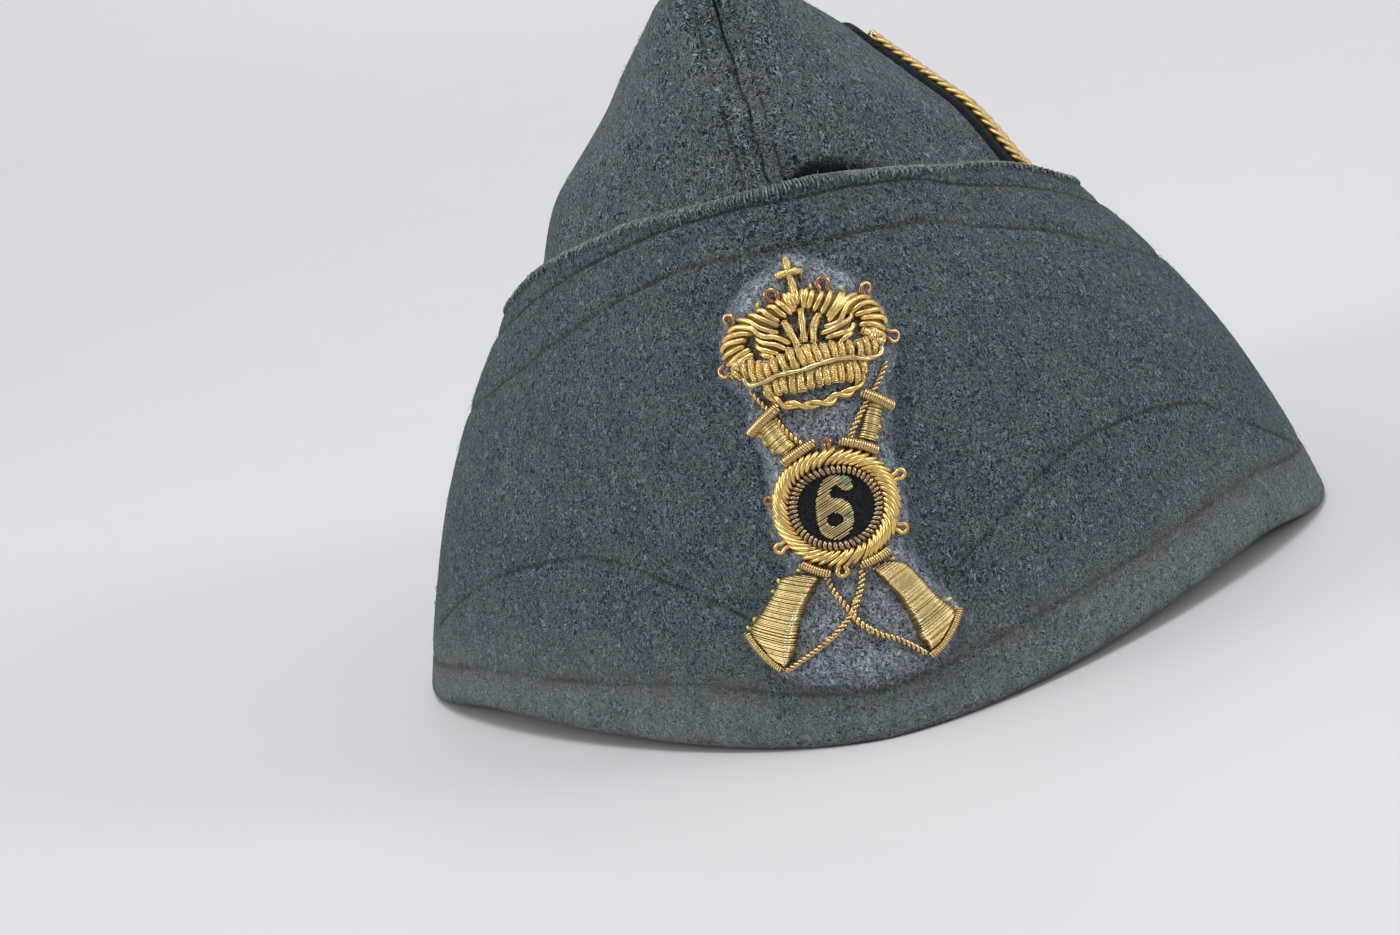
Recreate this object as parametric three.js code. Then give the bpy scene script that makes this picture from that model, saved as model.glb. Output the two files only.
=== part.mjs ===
// Garrison cap, in millimetres. The front looks along -Y, the wearer's left is +X, up is +Z, and
// the rim rests on z = 0. The cloth shapes are one surface, the cap's outer form, set out by the
// tables below. The crown's two panels lie inside it and the turn-up is folded up over them. The
// badge and the rank strip are drawn flat, cut into small facets and laid on the cloth.

import * as THREE from 'three';
import { TessellateModifier } from 'three/addons/modifiers/TessellateModifier.js';

// ---- driving dimensions ---------------------------------------------------------------------

const CLOTH = 2;                 // crown wall
const TURN_UP = 3;               // doubled cloth of the turn-up
const GAP = 0.3;                 // between pieces that touch
const SEAM_GAP = 0.3;            // between the two crown panels
const TUCK = TURN_UP + 0.5;      // how far the crown lies inside the cap's outer form

// The rim in plan: corner rounds it at its widest place, fullness rounds the front and the back.
const RIM = { halfLength: 110, halfWidth: 86, corner: 0.3, fullness: 1.62 };

// The two ridges of the top. bluntness under 1 keeps them apart right up to the front.
const RIDGE = {
  frontY: -70, backY: 78, halfWidth: 12.5, bluntness: 0.55, frontZ: 125, middleZ: 108, backZ: 98,
};

// The hollow between the ridges. It keeps its depth to close to its ends: steepness says how close.
const VALLEY = { frontY: -60, backY: 69, depth: 17, endDepth: 3, steepness: 6 };

// The dips where the front and back seams pull the ridges in. spread is in degrees each side,
// from is the level on the wall where a dip begins.
const NOTCH = { front: 6, back: 4, recess: 3, spread: 7, from: 0.72 };

const LEAN = { front: 2.5, back: 5 };                // the top leans to the wearer's right
const FOOT = { height: 2, width: 5.6, round: 0.8 };  // the fold under the crown's hem
const ROLL = { shoulder: 1.4, top: 0.4, spread: 0.7 };   // the turn-up's rounded edge
const HEM_HEIGHT = 3.6;                              // where the crown walls start

// Heights above the turn-up's edge where the crown starts to come out and is out to the full form.
const CROWN_RELEASE = { from: 2, to: 16 };

// The outer form from the rim (s = 0) over the ridge (s = 1) to the top's centre line (s = 2).
// rimX and rimY are the rim's share of each place and ridgeX the ridge's share across. valleyY
// is the centre line's share along the cap, rise the share of the ridge's height and sink the
// share of the valley's depth.
const PROFILE = [
  { s: 0.00, rimX: 1.000, rimY: 1.00, ridgeX: 0.00, valleyY: 0.00, rise: 0.00, sink: 0.00 },
  { s: 0.10, rimX: 0.960, rimY: 0.97, ridgeX: 0.04, valleyY: 0.00, rise: 0.10, sink: 0.00 },
  { s: 0.20, rimX: 0.910, rimY: 0.93, ridgeX: 0.09, valleyY: 0.00, rise: 0.20, sink: 0.00 },
  { s: 0.30, rimX: 0.852, rimY: 0.88, ridgeX: 0.15, valleyY: 0.00, rise: 0.30, sink: 0.00 },
  { s: 0.40, rimX: 0.778, rimY: 0.81, ridgeX: 0.22, valleyY: 0.00, rise: 0.40, sink: 0.00 },
  { s: 0.50, rimX: 0.688, rimY: 0.73, ridgeX: 0.31, valleyY: 0.00, rise: 0.50, sink: 0.00 },
  { s: 0.60, rimX: 0.575, rimY: 0.62, ridgeX: 0.42, valleyY: 0.00, rise: 0.60, sink: 0.00 },
  { s: 0.70, rimX: 0.447, rimY: 0.50, ridgeX: 0.55, valleyY: 0.00, rise: 0.70, sink: 0.00 },
  { s: 0.80, rimX: 0.308, rimY: 0.36, ridgeX: 0.69, valleyY: 0.00, rise: 0.80, sink: 0.00 },
  { s: 0.90, rimX: 0.175, rimY: 0.20, ridgeX: 0.86, valleyY: 0.00, rise: 0.90, sink: 0.00 },
  { s: 0.96, rimX: 0.085, rimY: 0.09, ridgeX: 0.96, valleyY: 0.00, rise: 0.97, sink: 0.00 },
  { s: 1.00, rimX: 0.020, rimY: 0.02, ridgeX: 1.00, valleyY: 0.00, rise: 1.00, sink: 0.00 },
  { s: 1.15, rimX: 0.000, rimY: 0.00, ridgeX: 0.84, valleyY: 0.12, rise: 1.00, sink: 0.07 },
  { s: 1.35, rimX: 0.000, rimY: 0.00, ridgeX: 0.62, valleyY: 0.36, rise: 1.00, sink: 0.34 },
  { s: 1.60, rimX: 0.000, rimY: 0.00, ridgeX: 0.36, valleyY: 0.66, rise: 1.00, sink: 0.74 },
  { s: 1.80, rimX: 0.000, rimY: 0.00, ridgeX: 0.17, valleyY: 0.86, rise: 1.00, sink: 0.95 },
  { s: 2.00, rimX: 0.000, rimY: 0.00, ridgeX: 0.00, valleyY: 1.00, rise: 1.00, sink: 1.00 },
];

// How high the rim arches above what it rests on. Positive angles are the wearer's left.
const RIM_ARCH = [
  { angle: -180, up: 0.0 },
  { angle: -167, up: 0.0 },
  { angle: -135, up: 2.4 },
  { angle: -94, up: 0.0 },
  { angle: -86, up: 0.0 },
  { angle: -66, up: 3.4 },
  { angle: -45, up: 2.0 },
  { angle: -30, up: 0.8 },
  { angle: -13, up: 0.0 },
  { angle: 13, up: 0.0 },
  { angle: 32, up: 0.8 },
  { angle: 47, up: 2.2 },
  { angle: 66, up: 4.0 },
  { angle: 86, up: 0.0 },
  { angle: 94, up: 0.0 },
  { angle: 135, up: 2.8 },
  { angle: 167, up: 0.0 },
  { angle: 180, up: 0.0 },
];

// Height of the turn-up's edge round the cap. Angles in degrees, 0 in front and 180 behind.
const EDGE = [
  { angle: 0, height: 91 },
  { angle: 12, height: 90.5 },
  { angle: 25, height: 89.5 },
  { angle: 40, height: 87 },
  { angle: 60, height: 80 },
  { angle: 90, height: 68 },
  { angle: 120, height: 61 },
  { angle: 180, height: 60 },
];

// How far the turn-up's edge stands off the form. Positive angles are the wearer's left.
const STAND_OFF = [
  { angle: -180, out: 0.0 },
  { angle: -110, out: 0.6 },
  { angle: -80, out: 0.5 },
  { angle: -50, out: 0.5 },
  { angle: -20, out: 0.6 },
  { angle: 0, out: 1.0 },
  { angle: 14, out: 2.6 },
  { angle: 30, out: 1.8 },
  { angle: 55, out: 0.3 },
  { angle: 180, out: 0.0 },
];

// Shallow dents and swells in the cloth. height is in millimetres up the wall, spread and tall
// are the half sizes, out is positive for a swell.
const DENTS = [
  { angle: -24, height: 103, spread: 10, tall: 12, out: -1.6 },
  { angle: 26, height: 106, spread: 11, tall: 10, out: -1.3 },
  { angle: -75, height: 84, spread: 24, tall: 13, out: 2.6 },
  { angle: 80, height: 84, spread: 26, tall: 20, out: 1.1 },
  { angle: -118, height: 80, spread: 20, tall: 12, out: -1.6 },
  { angle: -42, height: 34, spread: 16, tall: 20, out: -1.0 },
  { angle: 44, height: 30, spread: 14, tall: 18, out: -0.9 },
  { angle: 150, height: 74, spread: 16, tall: 10, out: 1.2 },
];

const PANEL_STEPS = 38;          // round one half of the cap
const END_CROWDING = 0.45;       // how much closer the steps are at the front and the back
const SIDE_LEVELS = [0, 0.14, 0.28, 0.42, 0.54, 0.65, 0.74, 0.82, 0.89, 0.95];
const TOP_LEVELS = [1, 1.08, 1.18, 1.32, 1.5, 1.7, 1.86, 2];
const EDGE_LEVELS = [0.12, 0.26, 0.42, 0.58, 0.74, 0.88];

// ---- the badge and the rank strip, drawn flat -----------------------------------------------

// x runs to the wearer's left and y up, from the middle of the ring.
const BADGE = { height: 39, tilt: -2.5, wallLean: 17, facet: 4 };
const FELT = { low: GAP, thick: 1 };
const WORK = FELT.low + FELT.thick + GAP;   // where the metal work starts
const LAYER = { flat: 0.9, pad: 1.8, cord: 0.45 };
const SOFTENED = 0.5;            // how far a padded piece's top edge is rounded

const PATCH = [
  [0.3, 43], [-5.6, 40.4], [-10.8, 37], [-14, 33], [-15.8, 27], [-15.4, 22.5], [-12.6, 18.6],
  [-13, 14.5], [-11.4, 10], [-11.6, 5], [-12.4, 0], [-12, -5], [-11, -9.5], [-14.2, -14],
  [-19.8, -20], [-18.4, -24.6], [-14.6, -28.6], [-8.6, -30.4], [0, -31.2], [8, -30.6],
  [13.4, -28.9], [18.6, -22.6], [16.8, -19], [12.8, -12.6], [11.2, -8], [12.2, -3.5], [12.5, 2],
  [11.4, 7.5], [13, 13], [13.9, 18.6], [16.2, 22.6], [16.5, 27], [14.8, 31.4], [11.4, 35.9],
  [6.6, 39.8],
];
const ARCH = { route: [[-11.6, 24.7], [-11.2, 27.8], [-9.6, 31], [-6.2, 32.3], [-2.6, 33.3],
  [1, 34.5], [4.6, 33.4], [8, 32.2], [10.9, 30.2], [11.4, 28.2], [11.2, 26.9]], halfWidth: 1.9 };
const LOBES = {
  left: [[-6.9, 29.2], [-5, 29.7], [-3.4, 29.2], [-2.4, 27.9], [-4.9, 26.9], [-6.7, 27.3]],
  right: [[2.9, 28.2], [3.7, 29.5], [5.2, 30], [7.1, 29.6], [7.5, 28.4], [6.6, 27.5], [4.4, 27.3]],
};
const RAYS = [
  { foot: [-1, 27.7], tip: [-1.8, 30.6] },
  { foot: [0.1, 27.7], tip: [0.3, 31.9] },
  { foot: [1.2, 27.7], tip: [2.2, 30.6] },
];
const RAY_WIDTH = 0.75;
const CROWN_BASE = [[-8.9, 22.2], [-6.8, 20.7], [-4, 20.3], [1.3, 20.4], [5.9, 20.3], [8.2, 21.5],
  [10.6, 22.9], [11, 24], [10.2, 24.7], [8.4, 25.9], [2.4, 26.7], [-1.6, 26.8], [-4.8, 26.2],
  [-7, 25.9], [-9, 24.8]];
const CROSS = { centre: [-0.3, 39.1], up: 2.4, down: 2.1, arm: 1.9, bar: 0.5 };
const SWAG = [[-6.9, 19.4], [-5.6, 18.6], [-4.2, 17.9], [-1, 17], [1.9, 17.4], [4.3, 18],
  [6.6, 18.7], [7.9, 20.2]];
const RIFLES = {
  left: {
    muzzleBand: { ends: [[-6.5, 17.3], [-11, 14.1]], halfWidth: 0.75 },
    fore: [[-9.9, 13.5], [-6.5, 15.9], [-4.3, 11.9], [-7.5, 10.3]],
    middleBand: { ends: [[-1.9, 11.6], [-6.7, 9.1]], halfWidth: 0.7 },
    neckBand: { ends: [[-6.9, -8.9], [-2.9, -11.1]], halfWidth: 0.7 },
    butt: [[-10.2, -11], [-7.6, -10.4], [-4.9, -12], [-6.2, -14.4], [-8.1, -17.2], [-10, -21],
      [-11.3, -24.3], [-12.9, -25.4], [-15.3, -23.3], [-17.3, -20.2], [-15, -17], [-12.5, -13.6]],
    plate: { ends: [[-18.3, -20.6], [-17, -23], [-15.2, -25], [-13.2, -26.7]], halfWidth: 0.6 },
  },
  right: {
    muzzleBand: { ends: [[7.4, 17.3], [11.6, 14.2]], halfWidth: 0.75 },
    fore: [[7.5, 15.6], [10.2, 13.6], [9, 9.7], [5.7, 11.4]],
    middleBand: { ends: [[2.8, 11.2], [8.1, 8.2]], halfWidth: 0.7 },
    neckBand: { ends: [[2.4, -10.8], [7, -9.2]], halfWidth: 0.7 },
    butt: [[4.8, -12], [7.8, -11], [9.8, -12.5], [12, -15.6], [14.6, -19.8], [15.7, -21.9],
      [13.5, -24.4], [11, -26.4], [9.6, -24.4], [8.4, -20], [6.8, -16], [5.5, -13.8]],
    plate: { ends: [[16.9, -22], [15, -24.5], [12.6, -26.7], [10.6, -27.8]], halfWidth: 0.6 },
  },
};
const RING = { radius: 8.5, halfWidth: 1.45, stretchX: 1.02, purlRadius: 6.45, purlHalfWidth: 0.3 };
const DISC = { radius: 5.8, thick: 0.7 };
const NUMBER = {
  outline: [[3, 2.8], [2.5, 4.4], [1.3, 5.2], [-0.3, 5.3], [-1.6, 4], [-2.7, 1.3], [-3, -1.9],
    [-2.6, -4.1], [-1, -5.2], [0.7, -4.8], [2, -3.2], [2.3, -1], [1.9, 0.5], [0.9, 1.4],
    [-0.3, 1.8], [-0.4, 2.8], [0.5, 3.6], [1.4, 2.7], [2.6, 2.3]],
  hole: { x: -0.4, y: -1.9, radius: 1.1 },
};
// lift carries the middle of the right sling over the left one.
const SLINGS = {
  left: { lift: 0, route: [[-3.1, -12.6], [-2.6, -14], [-1.6, -15.9], [-0.4, -17.9], [0.9, -20.2],
    [2.8, -22.1], [5.8, -24.1], [8.6, -26.2]] },
  right: { lift: 1.6, route: [[2.1, -12.5], [1.5, -14], [0.4, -16.2], [-0.8, -18.5], [-2.9, -20.6],
    [-5.7, -22.6], [-8.9, -24.5], [-11.4, -25.9]] },
};
const RANK = { angle: 81, bottomGap: 1.6, topHeight: 100, width: 13, laceWidth: 6, laceDrop: 5,
  low: 0.75, thick: 0.8, laceThick: 0.8, facet: 4 };

// ---- colours --------------------------------------------------------------------------------

function finish(color, roughness, metalness = 0) {
  return new THREE.MeshStandardMaterial({ color, roughness, metalness });
}

const FINISHES = {
  wool: finish(0x4d565a, 0.95),
  wool_turn_up: finish(0x4f595d, 0.95),
  felt: finish(0x656c70, 0.95),
  bullion: finish(0xb8924a, 0.4, 0.8),
  wound_thread: finish(0xab9055, 0.5, 0.6),
  dark_purl: finish(0x6a5138, 0.5, 0.6),
  black_felt: finish(0x17151a, 0.95),
  black_cloth: finish(0x1d1d20, 0.9),
  lace: finish(0xb99b58, 0.5, 0.6),
};

// ---- small tools ----------------------------------------------------------------------------

const radians = THREE.MathUtils.degToRad;
const mix = THREE.MathUtils.lerp;
const smoothstep = THREE.MathUtils.smoothstep;

/** A table's column at a place, joined by smooth curves that never overshoot its rows. */
function readColumn(rows, key, column, at) {
  const last = rows.length - 1;
  const place = Math.min(Math.max(at, rows[0][key]), rows[last][key]);
  let k = 0;
  while (k < last - 1 && place > rows[k + 1][key]) k += 1;
  const span = (i) => rows[i + 1][key] - rows[i][key];
  const slope = (i) => (rows[i + 1][column] - rows[i][column]) / span(i);
  const tangent = (i) => {
    if (i === 0) return slope(0);
    if (i === last) return slope(last - 1);
    const before = slope(i - 1);
    const after = slope(i);
    return before * after <= 0 ? 0 : 2 * before * after / (before + after);
  };
  const h = span(k);
  const t = (place - rows[k][key]) / h;
  const a = rows[k][column];
  const b = rows[k + 1][column];
  return a * (1 + 2 * t) * (1 - t) ** 2 + b * t * t * (3 - 2 * t)
    + h * tangent(k) * t * (1 - t) ** 2 - h * tangent(k + 1) * t * t * (1 - t);
}

/** A bell shaped weight, 1 at nothing and small past the spread. */
function bell(distance, spread) {
  return Math.exp(-((distance / spread) ** 2));
}

// ---- the cap's outer form -------------------------------------------------------------------

/** The rim in plan at an angle from the front, 0 to pi. */
function rimAt(angle) {
  const along = Math.cos(angle);
  const slant = (Math.hypot(along, RIM.corner) - RIM.corner) / (Math.hypot(1, RIM.corner) - RIM.corner);
  const across = Math.max(0, 1 - slant) ** (1 / RIM.fullness);
  return { x: RIM.halfWidth * across, y: -RIM.halfLength * along };
}

/** The ridge of the top at an angle from the front. */
function ridgeAt(angle) {
  const back = (1 - Math.cos(angle)) / 2;
  return {
    x: RIDGE.halfWidth * Math.sin(angle) ** RIDGE.bluntness,
    y: mix(RIDGE.frontY, RIDGE.backY, back),
    z: RIDGE.frontZ * (1 - back) * (1 - 2 * back) + RIDGE.middleZ * 4 * back * (1 - back)
      + RIDGE.backZ * back * (2 * back - 1),
  };
}

/** How much the rim arches up between the places where it rests. */
function archAt(angle) {
  return readColumn(RIM_ARCH, 'angle', 'up', THREE.MathUtils.radToDeg(angle));
}

/** Where the plane between the two halves lies, once the top leans over. */
function centreX(angle, rise) {
  return -mix(LEAN.front, LEAN.back, (1 - Math.cos(angle)) / 2) * rise ** 2;
}

/** A point of the outer form. Negative angles are the wearer's right. */
function formPoint(angle, s) {
  const side = angle < 0 ? -1 : 1;
  const turn = Math.abs(angle);
  const rim = rimAt(turn);
  const ridge = ridgeAt(turn);
  const share = (column) => readColumn(PROFILE, 's', column, s);
  const back = (1 - Math.cos(turn)) / 2;
  const degrees = THREE.MathUtils.radToDeg(turn);
  const frontNotch = bell(degrees, NOTCH.spread);
  const backNotch = bell(180 - degrees, NOTCH.spread);
  const nearTop = smoothstep(s, NOTCH.from, 1);
  const valleyY = mix(VALLEY.frontY, VALLEY.backY, back);
  const depth = mix(VALLEY.depth, VALLEY.endDepth, (2 * back - 1) ** VALLEY.steepness);
  const rise = share('rise');
  const ridgeY = 1 - share('rimY') - share('valleyY');
  return new THREE.Vector3(
    side * (rim.x * share('rimX') + ridge.x * share('ridgeX')) + centreX(angle, rise),
    rim.y * share('rimY') + ridge.y * ridgeY + valleyY * share('valleyY')
      + NOTCH.recess * (frontNotch - backNotch) * nearTop * (s > 1 ? Math.max(0, 2 - s) : 1),
    ridge.z * rise + archAt(angle) * (1 - Math.min(rise, 1)) - depth * share('sink')
      - (NOTCH.front * frontNotch + NOTCH.back * backNotch) * nearTop,
  );
}

/** The form carried on past the front, the back and the top's centre line by its mirror half. */
function formBeyond(angle, s) {
  const fold = s > 2 ? 4 - s : s;
  let turn = s > 2 ? -angle : angle;
  if (turn > Math.PI) turn -= 2 * Math.PI;
  if (turn < -Math.PI) turn += 2 * Math.PI;
  return formPoint(turn, Math.max(fold, 0));
}

/** The way out of the cloth at a place on the form. The left half is asked for past s = 1. */
function formNormal(angle, s) {
  const dAngle = radians(1.2);
  const ds = 0.012;
  const round = formBeyond(angle + dAngle, s).sub(formBeyond(angle - dAngle, s));
  const up = formBeyond(angle, s + ds).sub(formBeyond(angle, s - ds));
  return round.cross(up).normalize();
}

/** The sum of the dents and swells at a place on the wall. */
function dentAt(angle, height) {
  const degrees = THREE.MathUtils.radToDeg(angle);
  return DENTS.reduce((sum, dent) => {
    const turn = Math.abs(degrees - dent.angle);
    const apart = Math.min(turn, 360 - turn);
    return sum + dent.out * bell(apart, dent.spread) * bell(height - dent.height, dent.tall);
  }, 0);
}

function edgeHeight(angle) {
  return readColumn(EDGE, 'angle', 'height', THREE.MathUtils.radToDeg(Math.abs(angle)));
}

/** s at a height on the wall. The arch of the rim is left out of the height. */
function levelAt(angle, height) {
  return height / ridgeAt(Math.abs(angle)).z;
}

/** A point of the crown's outer face, or under it by a depth. */
function crownPoint(angle, s, depth = 0) {
  const height = s * ridgeAt(Math.abs(angle)).z;
  const above = height - edgeHeight(angle);
  const tucked = TUCK * (1 - smoothstep(above, CROWN_RELEASE.from, CROWN_RELEASE.to));
  const out = (s < 1 ? dentAt(angle, height) : 0) - tucked - depth;
  return formBeyond(angle, s).addScaledVector(formNormal(angle, s), out);
}

/** A point of the turn-up's outer face at a height, or under it by a depth. */
function turnUpPoint(angle, height, depth = 0) {
  const s = levelAt(angle, height);
  const degrees = THREE.MathUtils.radToDeg(angle);
  const off = readColumn(STAND_OFF, 'angle', 'out', degrees) * (height / edgeHeight(angle)) ** 3;
  const out = dentAt(angle, height) + off - depth;
  return formBeyond(angle, s).addScaledVector(formNormal(angle, s), out);
}

// ---- cloth walls ----------------------------------------------------------------------------

/**
 * Joins sections, each a closed loop of as many points, into one closed body. A ring's last
 * section meets its first. Otherwise the two ends are closed by pairing each loop's two sides.
 */
function loft(sections, ring) {
  const count = sections.length;
  const size = sections[0].length;
  const corners = sections.flat().flatMap((point) => [point.x, point.y, point.z]);
  const faces = [];
  const quad = (a, b, c, d) => faces.push(a, b, c, a, c, d);
  for (let i = 0; i < (ring ? count : count - 1); i += 1) {
    const next = (i + 1) % count;
    for (let k = 0; k < size; k += 1) {
      const after = (k + 1) % size;
      quad(i * size + k, next * size + k, next * size + after, i * size + after);
    }
  }
  if (!ring) {
    const end = (count - 1) * size;
    for (let k = 0; k < size / 2 - 1; k += 1) {
      const across = size - 1 - k;
      quad(k, k + 1, across - 1, across);
      quad(end + k, end + across, end + across - 1, end + k + 1);
    }
  }
  const geometry = new THREE.BufferGeometry();
  geometry.setAttribute('position', new THREE.Float32BufferAttribute(corners, 3));
  geometry.setIndex(faces);
  geometry.computeVertexNormals();
  return geometry;
}

/** Angles round one half of the cap, closer together at the front and the back. */
function halfAngles() {
  return Array.from({ length: PANEL_STEPS + 1 }, (_, i) => {
    const share = i / PANEL_STEPS;
    return Math.PI * (share - END_CROWDING * Math.sin(2 * Math.PI * share) / (2 * Math.PI));
  });
}

/** One cloth panel of the crown, from its hem over the ridge to the seam in the valley. */
function crownPanel(side) {
  const sections = halfAngles().map((turn) => {
    const angle = side * turn;
    const hem = levelAt(angle, HEM_HEIGHT);
    const levels = [...SIDE_LEVELS.map((share) => mix(hem, 1, share)), ...TOP_LEVELS];
    const face = (depth) => levels.map((s) => {
      const point = crownPoint(angle, s, depth);
      const centre = centreX(angle, Math.min(s, 1));
      point.x = centre + side * (SEAM_GAP / 2 + Math.max(0, side * (point.x - centre)));
      return point;
    });
    return [...face(0), ...face(CLOTH).reverse()];
  });
  return loft(side > 0 ? sections : sections.reverse(), false);
}

/** A point level with the rim, a distance inside its outer face. */
function underRim(angle, inward, height) {
  const point = turnUpPoint(angle, height);
  const normal = formNormal(angle, levelAt(angle, height)).setZ(0).normalize();
  point.addScaledVector(normal, -inward);
  point.z = archAt(angle) + height;
  return point;
}

/** The turn-up: a doubled band with a rolled edge and a foot folded in under the crown's hem. */
function turnUpBand() {
  const turns = halfAngles();
  const angles = [...turns.slice(1, -1).reverse().map((turn) => -turn), ...turns];
  const sections = angles.map((angle) => {
    const edge = edgeHeight(angle);
    const roll = TURN_UP / 2;
    return [
      underRim(angle, FOOT.round, 0),
      underRim(angle, 0, FOOT.round),
      ...EDGE_LEVELS.map((share) => turnUpPoint(angle, edge * share)),
      turnUpPoint(angle, edge - ROLL.shoulder),
      turnUpPoint(angle, edge - ROLL.top, roll * (1 - ROLL.spread)),
      turnUpPoint(angle, edge, roll),
      turnUpPoint(angle, edge - ROLL.top, roll * (1 + ROLL.spread)),
      turnUpPoint(angle, edge - ROLL.shoulder, TURN_UP),
      ...[...EDGE_LEVELS].reverse().map((share) => turnUpPoint(angle, edge * share, TURN_UP)),
      underRim(angle, TURN_UP, FOOT.height),
      underRim(angle, FOOT.width, FOOT.height),
      underRim(angle, FOOT.width, FOOT.round),
      underRim(angle, FOOT.width - FOOT.round, 0),
    ];
  });
  return loft(sections, true);
}

// ---- work laid on the cloth -----------------------------------------------------------------

/** The angle that lies a distance round the wall from a starting angle, at one height. */
function angleAround(wall, start, distance, height) {
  const step = radians(1) * Math.sign(distance);
  let angle = start;
  let here = wall(angle, height);
  let gone = 0;
  while (gone < Math.abs(distance)) {
    const next = wall(angle + step, height);
    const length = next.distanceTo(here);
    const share = Math.min(1, (Math.abs(distance) - gone) / length);
    angle += step * share;
    gone += length * share;
    if (share < 1) break;
    here = next;
  }
  return angle;
}

const MOST_SPLITS = 24;

/** Lays a flat body on a wall: x goes round it, y up it and z out of it. */
function layOn(wall, flat, facet, place) {
  const small = new TessellateModifier(facet, MOST_SPLITS).modify(flat);
  const corners = small.getAttribute('position');
  const nudge = 0.5;
  for (let i = 0; i < corners.count; i += 1) {
    const { across, height } = place(corners.getX(i), corners.getY(i));
    const angle = angleAround(wall, place.start, across, height);
    const here = wall(angle, height);
    const round = wall(angle + radians(nudge), height).sub(wall(angle - radians(nudge), height));
    const up = wall(angle, height + nudge).sub(wall(angle, height - nudge));
    const point = here.addScaledVector(round.cross(up).normalize(), corners.getZ(i));
    corners.setXYZ(i, point.x, point.y, point.z);
  }
  const laid = new THREE.BufferGeometry();
  laid.setAttribute('position', corners);
  laid.computeVertexNormals();
  return laid;
}

/** Lays a flat body on the front of the turn-up, in the badge's own tilt. */
function layOnTurnUp(flat, facet = BADGE.facet) {
  const cos = Math.cos(radians(BADGE.tilt));
  const sin = Math.sin(radians(BADGE.tilt));
  const rise = Math.cos(radians(BADGE.wallLean));
  const place = (x, y) => ({
    across: x * cos - y * sin,
    height: BADGE.height + (x * sin + y * cos) * rise,
  });
  place.start = 0;
  return layOn(turnUpPoint, flat, facet, place);
}

function crownWall(angle, height) {
  return crownPoint(angle, levelAt(angle, height));
}

/** Lays a flat body on the wearer's left of the crown, its y being height on the wall. */
function layOnCrown(flat) {
  const place = (x, y) => ({ across: x, height: y });
  place.start = radians(RANK.angle);
  return layOn(crownWall, flat, RANK.facet, place);
}

/** A closed outline through points, rounded or with straight sides. */
function outline(points, rounded = true) {
  const corners = points.map(([x, y]) => new THREE.Vector2(x, y));
  if (!rounded) return new THREE.Shape(corners);
  const round = new THREE.CatmullRomCurve3(corners.map((c) => new THREE.Vector3(c.x, c.y, 0)), true);
  return new THREE.Shape(round.getPoints(points.length * 2).slice(0, -1));
}

/** A strip of even width along a route. */
function strip(route, halfWidth, steps) {
  const curve = new THREE.SplineCurve(route.map(([x, y]) => new THREE.Vector2(x, y)));
  const sides = [1, -1].map((side) => Array.from({ length: steps + 1 }, (_, i) => {
    const { x, y } = curve.getTangent(i / steps);
    const out = new THREE.Vector2(-y, x).multiplyScalar(side * halfWidth);
    return out.add(curve.getPoint(i / steps));
  }));
  return new THREE.Shape([...sides[0], ...sides[1].reverse()]);
}

/** Raises an outline from a level by a thickness, its top edge rounded off where it is padded. */
function raise(shape, low, thick, rounding = 0) {
  const settings = rounding > 0
    ? { depth: thick - 2 * rounding, bevelEnabled: true, bevelSize: rounding, bevelOffset: -rounding,
      bevelThickness: rounding, bevelSegments: 1 }
    : { depth: thick, bevelEnabled: false };
  return new THREE.ExtrudeGeometry(shape, { ...settings, curveSegments: 24 })
    .translate(0, 0, low + rounding);
}

/** A round cord along a route, its middle at a level that may hump up half way. */
function cord(route, radius, level, lift) {
  const last = route.length - 1;
  const points = route.map(([x, y], i) => {
    const fromMiddle = i - last / 2;
    return new THREE.Vector3(x, y, level + lift * bell(fromMiddle, 1.1));
  });
  const section = new THREE.Shape().absarc(0, 0, radius, 0, 2 * Math.PI);
  return new THREE.ExtrudeGeometry(section, {
    steps: last * 3, curveSegments: 6, bevelEnabled: false,
    extrudePath: new THREE.CatmullRomCurve3(points),
  });
}

// ---- assembly -------------------------------------------------------------------------------

const cap = new THREE.Group();

function add(name, geometry, material) {
  const mesh = new THREE.Mesh(geometry, FINISHES[material]);
  mesh.name = name;
  cap.add(mesh);
}

function addCloth() {
  add('crown_left', crownPanel(1), 'wool');
  add('crown_right', crownPanel(-1), 'wool');
  add('turn_up', turnUpBand(), 'wool_turn_up');
}

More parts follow.
